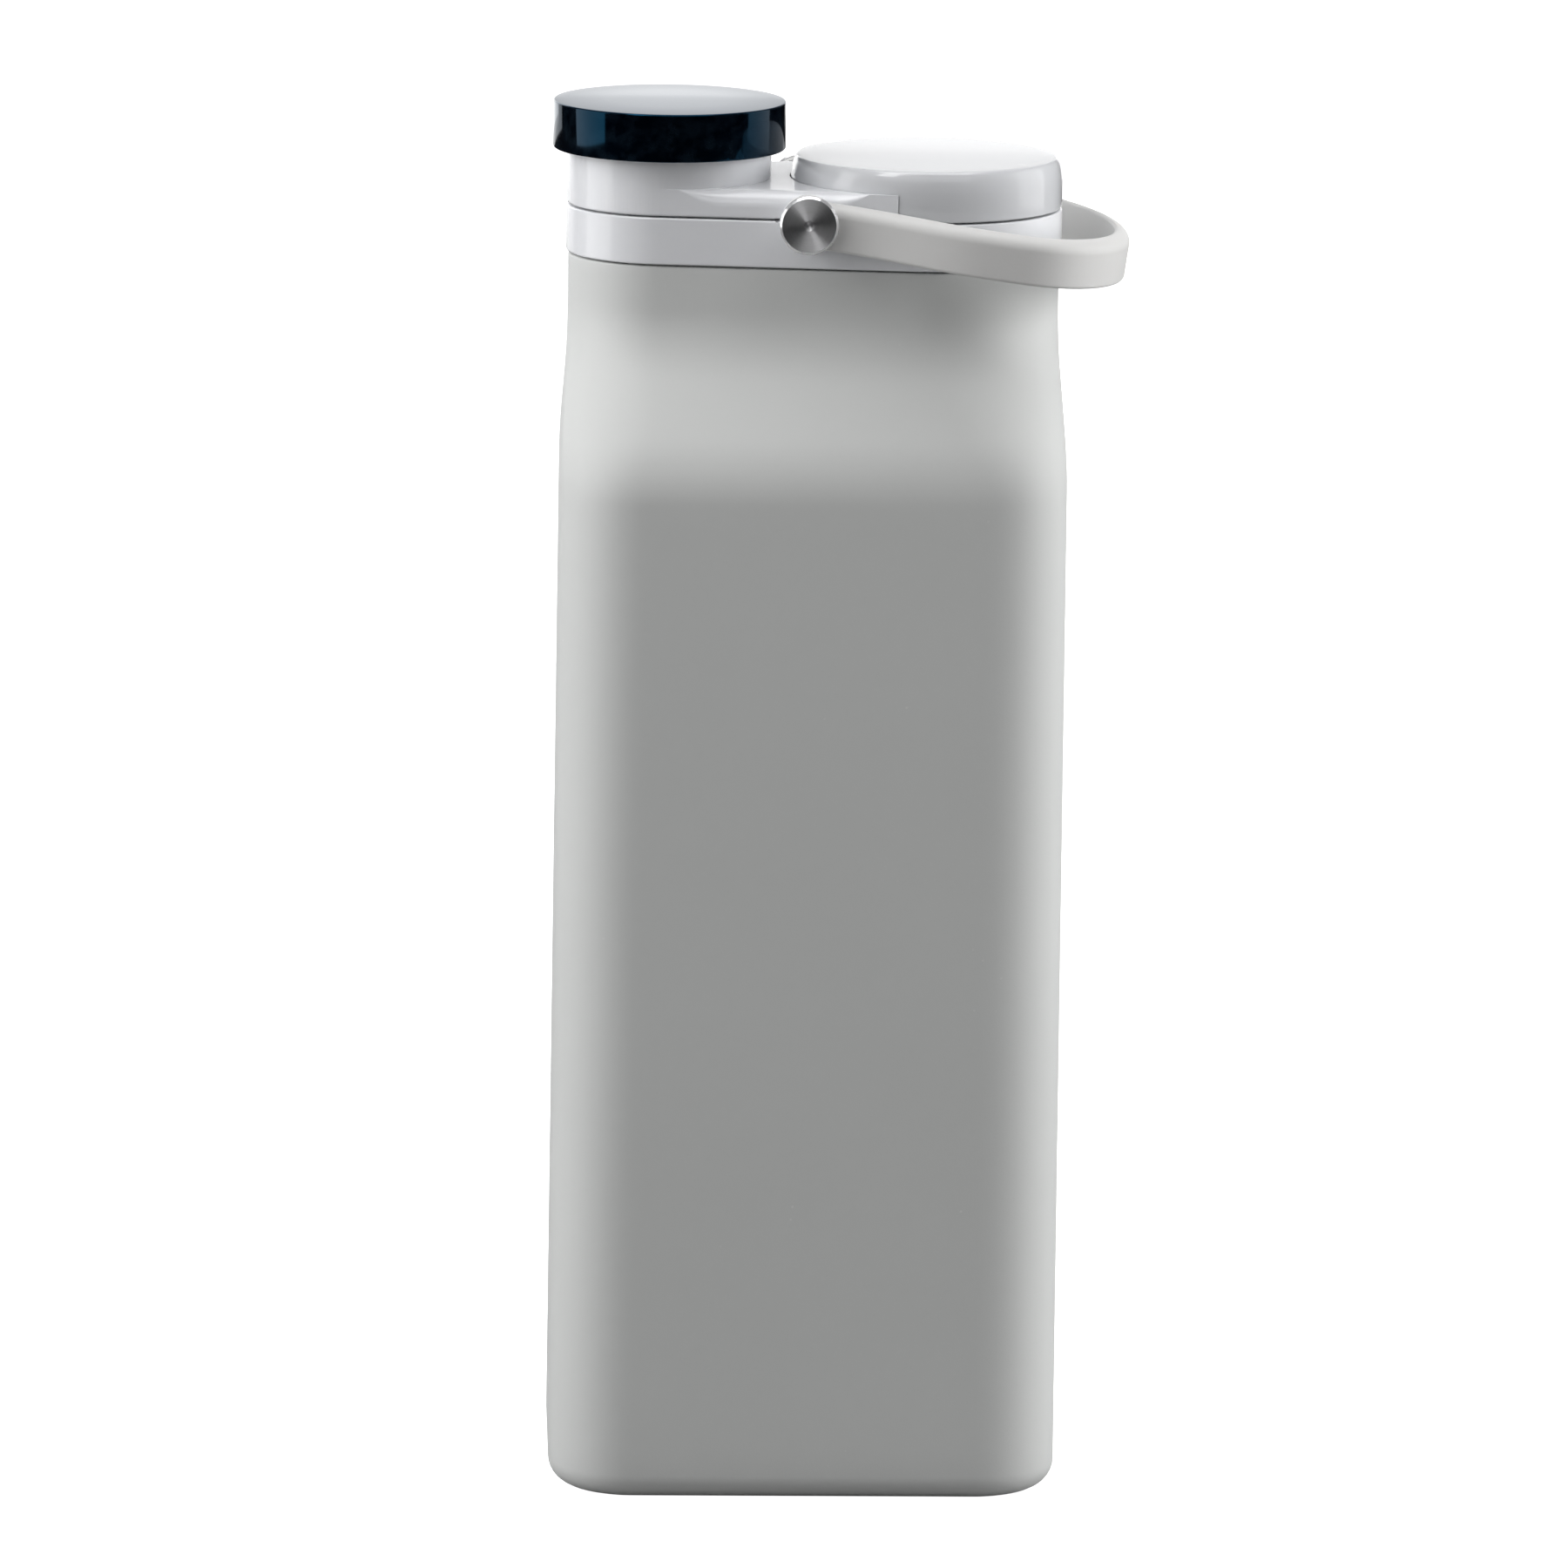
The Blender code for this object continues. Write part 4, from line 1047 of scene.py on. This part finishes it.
def navy_cap():
    """Polished navy cap: painted near black round its side as shade, painted paler on its crowned top as a
    highlight, and glossier there.
    """
    constants = {"IOR": 1.45, "Specular Tint": (0.01, 0.50, 1.0, 1.0), "Coat Roughness": 0.05}
    material, tree, shader = new_finish("cap_plastic", constants)
    grain = effect(tree, "grain", grain_per_metre=420.0, cloud_per_metre=20.0)
    rub = effect(tree, "rub", reach=0.08)
    smears = effect(tree, "smears", amount=0.04, base_roughness=0.07)
    height = add_node(tree, "ShaderNodeSeparateXYZ", {"Vector": surface_point(tree)}).outputs["Z"]
    rim = CAP_HIGH.z - CAP_LOW.z - CAP_CROWN - CAP_ROUND / 2
    # Mask of the crowned top, which carries the painted highlight colour and the coat.
    top = ranged(tree, height, low=rim, high=rim + CAP_ROUND)
    side_painted_shade_navy = mix_colour(tree, grain["Cloud"], *CAP_SIDE_PAINTED_SHADE_NAVY)
    top_painted_highlight_navy = mix_colour(tree, grain["Cloud"], *CAP_TOP_PAINTED_HIGHLIGHT_NAVY)
    # Painted shade on the side, painted highlight on the top.
    navy = mix_colour(tree, top, side_painted_shade_navy, top_painted_highlight_navy)
    rubbed = maths(tree, "MULTIPLY", rub["Mask"], CAP_RUB)
    radius = effect(tree, "rings")["Radius"]
    reach = (CAP_HIGH.x - CAP_LOW.x) / 2
    coat = ranged(tree, radius, CAP_COAT_FADE * reach, reach, to_low=CAP_COAT, to_high=CAP_RIM_COAT)
    feed(tree, shader, {
        "Base Color": mix_colour(tree, rubbed, navy, CAP_RUB_NAVY),
        "Roughness": smears["Roughness"],
        "Coat Weight": maths(tree, "MULTIPLY", top, coat),
        "Normal": bumped(tree, grain["Height"], strength=0.01, distance=0.04 * MM),
    })
    return material


def spun_steel():
    """Turned stainless steel: a polished rim, and round tool marks that stretch the light into wedges."""
    constants = {"Anisotropic": 0.95, "Anisotropic Rotation": 0.25}
    material, tree, shader = new_finish("spun_steel", constants)
    rings = effect(tree, "rings", rings_per_metre=9000.0)
    face = DISC_RADIUS - DISC_CHAMFER
    rim = ranged(tree, rings["Radius"], low=face - DISC_EASE, high=face)
    turned_face = mix_colour(tree, rings["Tone"], *STEEL_FACE)
    face_roughness = ranged(tree, rings["Tone"], to_low=0.52, to_high=0.62)
    feed(tree, shader, {
        "Base Color": mix_colour(tree, rim, turned_face, STEEL_RIM),
        "Roughness": ranged(tree, rim, to_low=face_roughness, to_high=0.22),
        "Metallic": ranged(tree, rim, to_low=1.0, to_high=0.65),
        "Tangent": add_node(tree, "ShaderNodeTangent", direction_type="RADIAL", axis="Z").outputs[0],
        "Normal": bumped(tree, rings["Height"], strength=0.08, distance=0.01 * MM),
    })
    return material


def machined(name, colours, roughness, metallic):
    """Small turned or moulded inner parts."""
    material, tree, shader = new_finish(name, {"Metallic": metallic})
    grain = effect(tree, "grain", grain_per_metre=1800.0, cloud_per_metre=160.0)
    smears = effect(tree, "smears", amount=0.12, base_roughness=roughness)
    feed(tree, shader, {
        "Base Color": mix_colour(tree, grain["Cloud"], *colours),
        "Roughness": smears["Roughness"],
        "Normal": bumped(tree, grain["Height"], strength=0.15, distance=0.02 * MM),
    })
    return material


def all_finishes():
    """One finish for each of the record's material slots."""
    finishes = {slot: soft_silicone(slot, **recipe) for slot, recipe in SILICONES.items()}
    finishes.update({slot: gloss_plastic(slot, **recipe) for slot, recipe in GLOSS_PLASTICS.items()})
    finishes.update({slot: machined(slot, **recipe) for slot, recipe in INNER_PARTS.items()})
    finishes["cap_plastic"] = navy_cap()
    finishes["pivot_steel"] = spun_steel()
    return finishes


def dress(piece, finish):
    """Give a piece a finish, in every slot that it has."""
    if len(piece.data.materials) == 0:
        piece.data.materials.append(finish)
    for holder in piece.material_slots:
        holder.material = finish


def put_on(piece, body, slot, finishes, *nodes):
    """Finish a new piece, hang it on its body and let it stand for its CAD nodes."""
    dress(piece, finishes[slot])
    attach(piece, body)
    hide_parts(*nodes)


def dress_inner_nodes(finishes):
    """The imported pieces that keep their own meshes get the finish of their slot."""
    slots = {part["node"]: part["material_slot"] for part in frame["record"]["subparts"]}
    for name, node in frame["nodes"].items():
        if not node.hide_render:
            dress(node, finishes[slots[name]])


def build_pieces(finishes):
    body = silicone_body()
    put_on(body, "head", "body_silicone", finishes, "silicone_base", "silicone_sleeve")
    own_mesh(body)
    put_on(collar_band(), "head", "head_plastic", finishes, "collar_band")
    put_on(shoulder(), "head", "head_plastic", finishes, "shoulder")
    put_on(drink_cap(), "drink_cap", "cap_plastic", finishes, "drink_cap_shell")
    put_on(fill_lid(), "fill_lid", "lid_plastic", finishes, "fill_lid_shell")
    put_on(carry_strap(), "strap", "strap_silicone", finishes, "carry_strap")
    for name, side in SIDES.items():
        put_on(pivot_disc(name, side), "head", "pivot_steel", finishes, "pivot_screw_" + name)


# Studio.

def floor():
    """Plain pale floor, white to the eye and dim to the bottle.

    It is clear to a view from below and to the flat foot that stands on it, which would be black.
    """
    bm = bmesh.new()
    bmesh.ops.create_grid(bm, x_segments=FLOOR_STEPS, y_segments=FLOOR_STEPS, size=FLOOR_REACH)
    plane = finish_mesh("studio_floor", bm)
    plane.location.z = -FLOOR_DROP
    constants = {"Roughness": 0.9, "Specular IOR Level": 0.0, "Emission Strength": 1.0}
    material, tree, shader = new_finish("pale_floor", constants)
    path = add_node(tree, "ShaderNodeLightPath").outputs
    mottle = add_node(tree, "ShaderNodeTexNoise", {"Scale": 4.0, "Detail": 2.0}).outputs[0]
    to_eye = mix_colour(tree, mottle, *FLOOR_TO_EYE)
    to_bottle = mix_colour(tree, path["Is Glossy Ray"], FLOOR_TO_BOTTLE, FLOOR_TO_GLOSS)
    from_below = add_node(tree, "ShaderNodeNewGeometry").outputs["Backfacing"]
    under_foot = maths(tree, "LESS_THAN", path["Ray Length"], FOOT_RAY)
    clear = maths(tree, "MAXIMUM", from_below, under_foot)
    feed(tree, shader, {
        "Base Color": mix_colour(tree, path["Is Camera Ray"], to_bottle, to_eye),
        "Emission Color": mix_colour(tree, path["Is Camera Ray"], BLACK, WHITE),
        "Alpha": maths(tree, "SUBTRACT", 1.0, clear),
    })
    plane.data.materials.append(material)


def backdrop_world():
    """Pale surroundings to the eye, dim ones to the bottle."""
    world = bpy.data.worlds.new("studio_world")
    world.use_nodes = True
    tree = world.node_tree
    seen = add_node(tree, "ShaderNodeLightPath").outputs["Is Camera Ray"]
    feed(tree, tree.nodes["Background"], {"Color": mix_colour(tree, seen, WORLD_TO_BOTTLE, WHITE)})
    bpy.context.scene.world = world


def panel(name, at, away, size, radiance):
    """A rectangular light that faces the bottle's head from an azimuth and an elevation, in degrees.

    Azimuth 0 is the front and 90 the right.
    """
    width, height = size
    light = bpy.data.lights.new(name, "AREA")
    light.shape = "RECTANGLE"
    light.size = width
    light.size_y = height
    light.energy = radiance * math.pi * width * height
    lamp = bpy.data.objects.new(name, light)
    bpy.context.scene.collection.objects.link(lamp)
    turn, rise = (math.radians(angle) for angle in at)
    outward = Vector((math.sin(turn) * math.cos(rise), -math.cos(turn) * math.cos(rise), math.sin(rise)))
    lamp.location = Vector((0.0, 0.0, LIGHT_AIM_Z)) + outward * away
    lamp.rotation_euler = outward.to_track_quat("Z", "Y").to_euler()
    lamp.visible_camera = False
    return lamp


def softbox(name, **setting):
    """A light that only brightens surfaces; its mirror image is left to a card."""
    panel(name + "_softbox", **setting).visible_glossy = False


def card(name, **setting):
    """A pale card that only shows in reflections."""
    panel(name + "_card", **setting).visible_diffuse = False


def studio_light():
    softbox("overhead", at=(0, 85), away=1.2, size=(1.2, 1.0), radiance=0.8)
    softbox("high_left", at=(-55, 60), away=1.2, size=(0.7, 0.6), radiance=1.1)
    softbox("high_right", at=(55, 60), away=1.2, size=(0.7, 0.6), radiance=2.1)
    softbox("left", at=(-97, 12), away=1.2, size=(0.8, 0.6), radiance=3.6)
    softbox("raised_left", at=(-80, 40), away=1.2, size=(0.5, 0.6), radiance=4.2)
    softbox("low_left", at=(-80, 22), away=1.2, size=(0.5, 0.5), radiance=1.6)
    softbox("front_left", at=(-60, 18), away=1.2, size=(0.5, 0.6), radiance=2.7)
    softbox("right", at=(98, 12), away=1.2, size=(0.8, 0.9), radiance=2.3)
    softbox("rear_right", at=(104, 10), away=1.2, size=(0.5, 0.9), radiance=3.0)
    softbox("front_right", at=(80, 10), away=1.2, size=(0.5, 0.9), radiance=4.2)
    softbox("back", at=(180, 30), away=1.6, size=(1.4, 0.9), radiance=1.2)
    softbox("under", at=(180, -60), away=1.4, size=(1.2, 1.0), radiance=1.2)
    card("left", at=(-87.5, 10), away=0.85, size=(0.60, 0.72), radiance=1.65)
    card("right", at=(99, 10), away=0.85, size=(0.52, 0.72), radiance=0.95)
    card("overhead", at=(0, 84), away=1.2, size=(1.2, 0.8), radiance=3.0)
    card("high_left", at=(-42, 50), away=1.2, size=(0.30, 0.6), radiance=5.0)
    card("wide_front", at=(0, 35), away=1.3, size=(1.8, 0.5), radiance=0.8)
    card("back", at=(-172, 16), away=1.2, size=(1.3, 0.98), radiance=0.82)
    card("left_back", at=(-152, 8), away=1.2, size=(0.75, 1.0), radiance=0.9)
    card("low_back", at=(-172, 1.5), away=1.21, size=(1.3, 0.36), radiance=0.3)


def camera():
    lens = bpy.data.cameras.new("photo_camera")
    lens.lens = CAMERA_LENS
    lens.sensor_width = 36.0
    lens.clip_end = 50.0
    eye = bpy.data.objects.new("photo_camera", lens)
    bpy.context.scene.collection.objects.link(eye)
    level = CAMERA_DISTANCE * math.cos(CAMERA_ELEVATION)
    away = Vector((
        -level * math.sin(CAMERA_AZIMUTH),
        -level * math.cos(CAMERA_AZIMUTH),
        CAMERA_DISTANCE * math.sin(CAMERA_ELEVATION),
    ))
    turn = Matrix.Rotation(-CAMERA_AZIMUTH, 4, "Z")
    tilt = Matrix.Rotation(math.pi / 2 - CAMERA_ELEVATION, 4, "X")
    roll = Matrix.Rotation(CAMERA_ROLL, 4, "Z")
    eye.matrix_world = Matrix.Translation(CAMERA_AIM + away) @ turn @ tilt @ roll
    bpy.context.scene.camera = eye


def dress_bottle():
    finishes = all_finishes()
    build_pieces(finishes)
    dress_inner_nodes(finishes)


dress_bottle()
floor()
backdrop_world()
studio_light()
camera()
bpy.context.scene.view_settings.view_transform = "Standard"
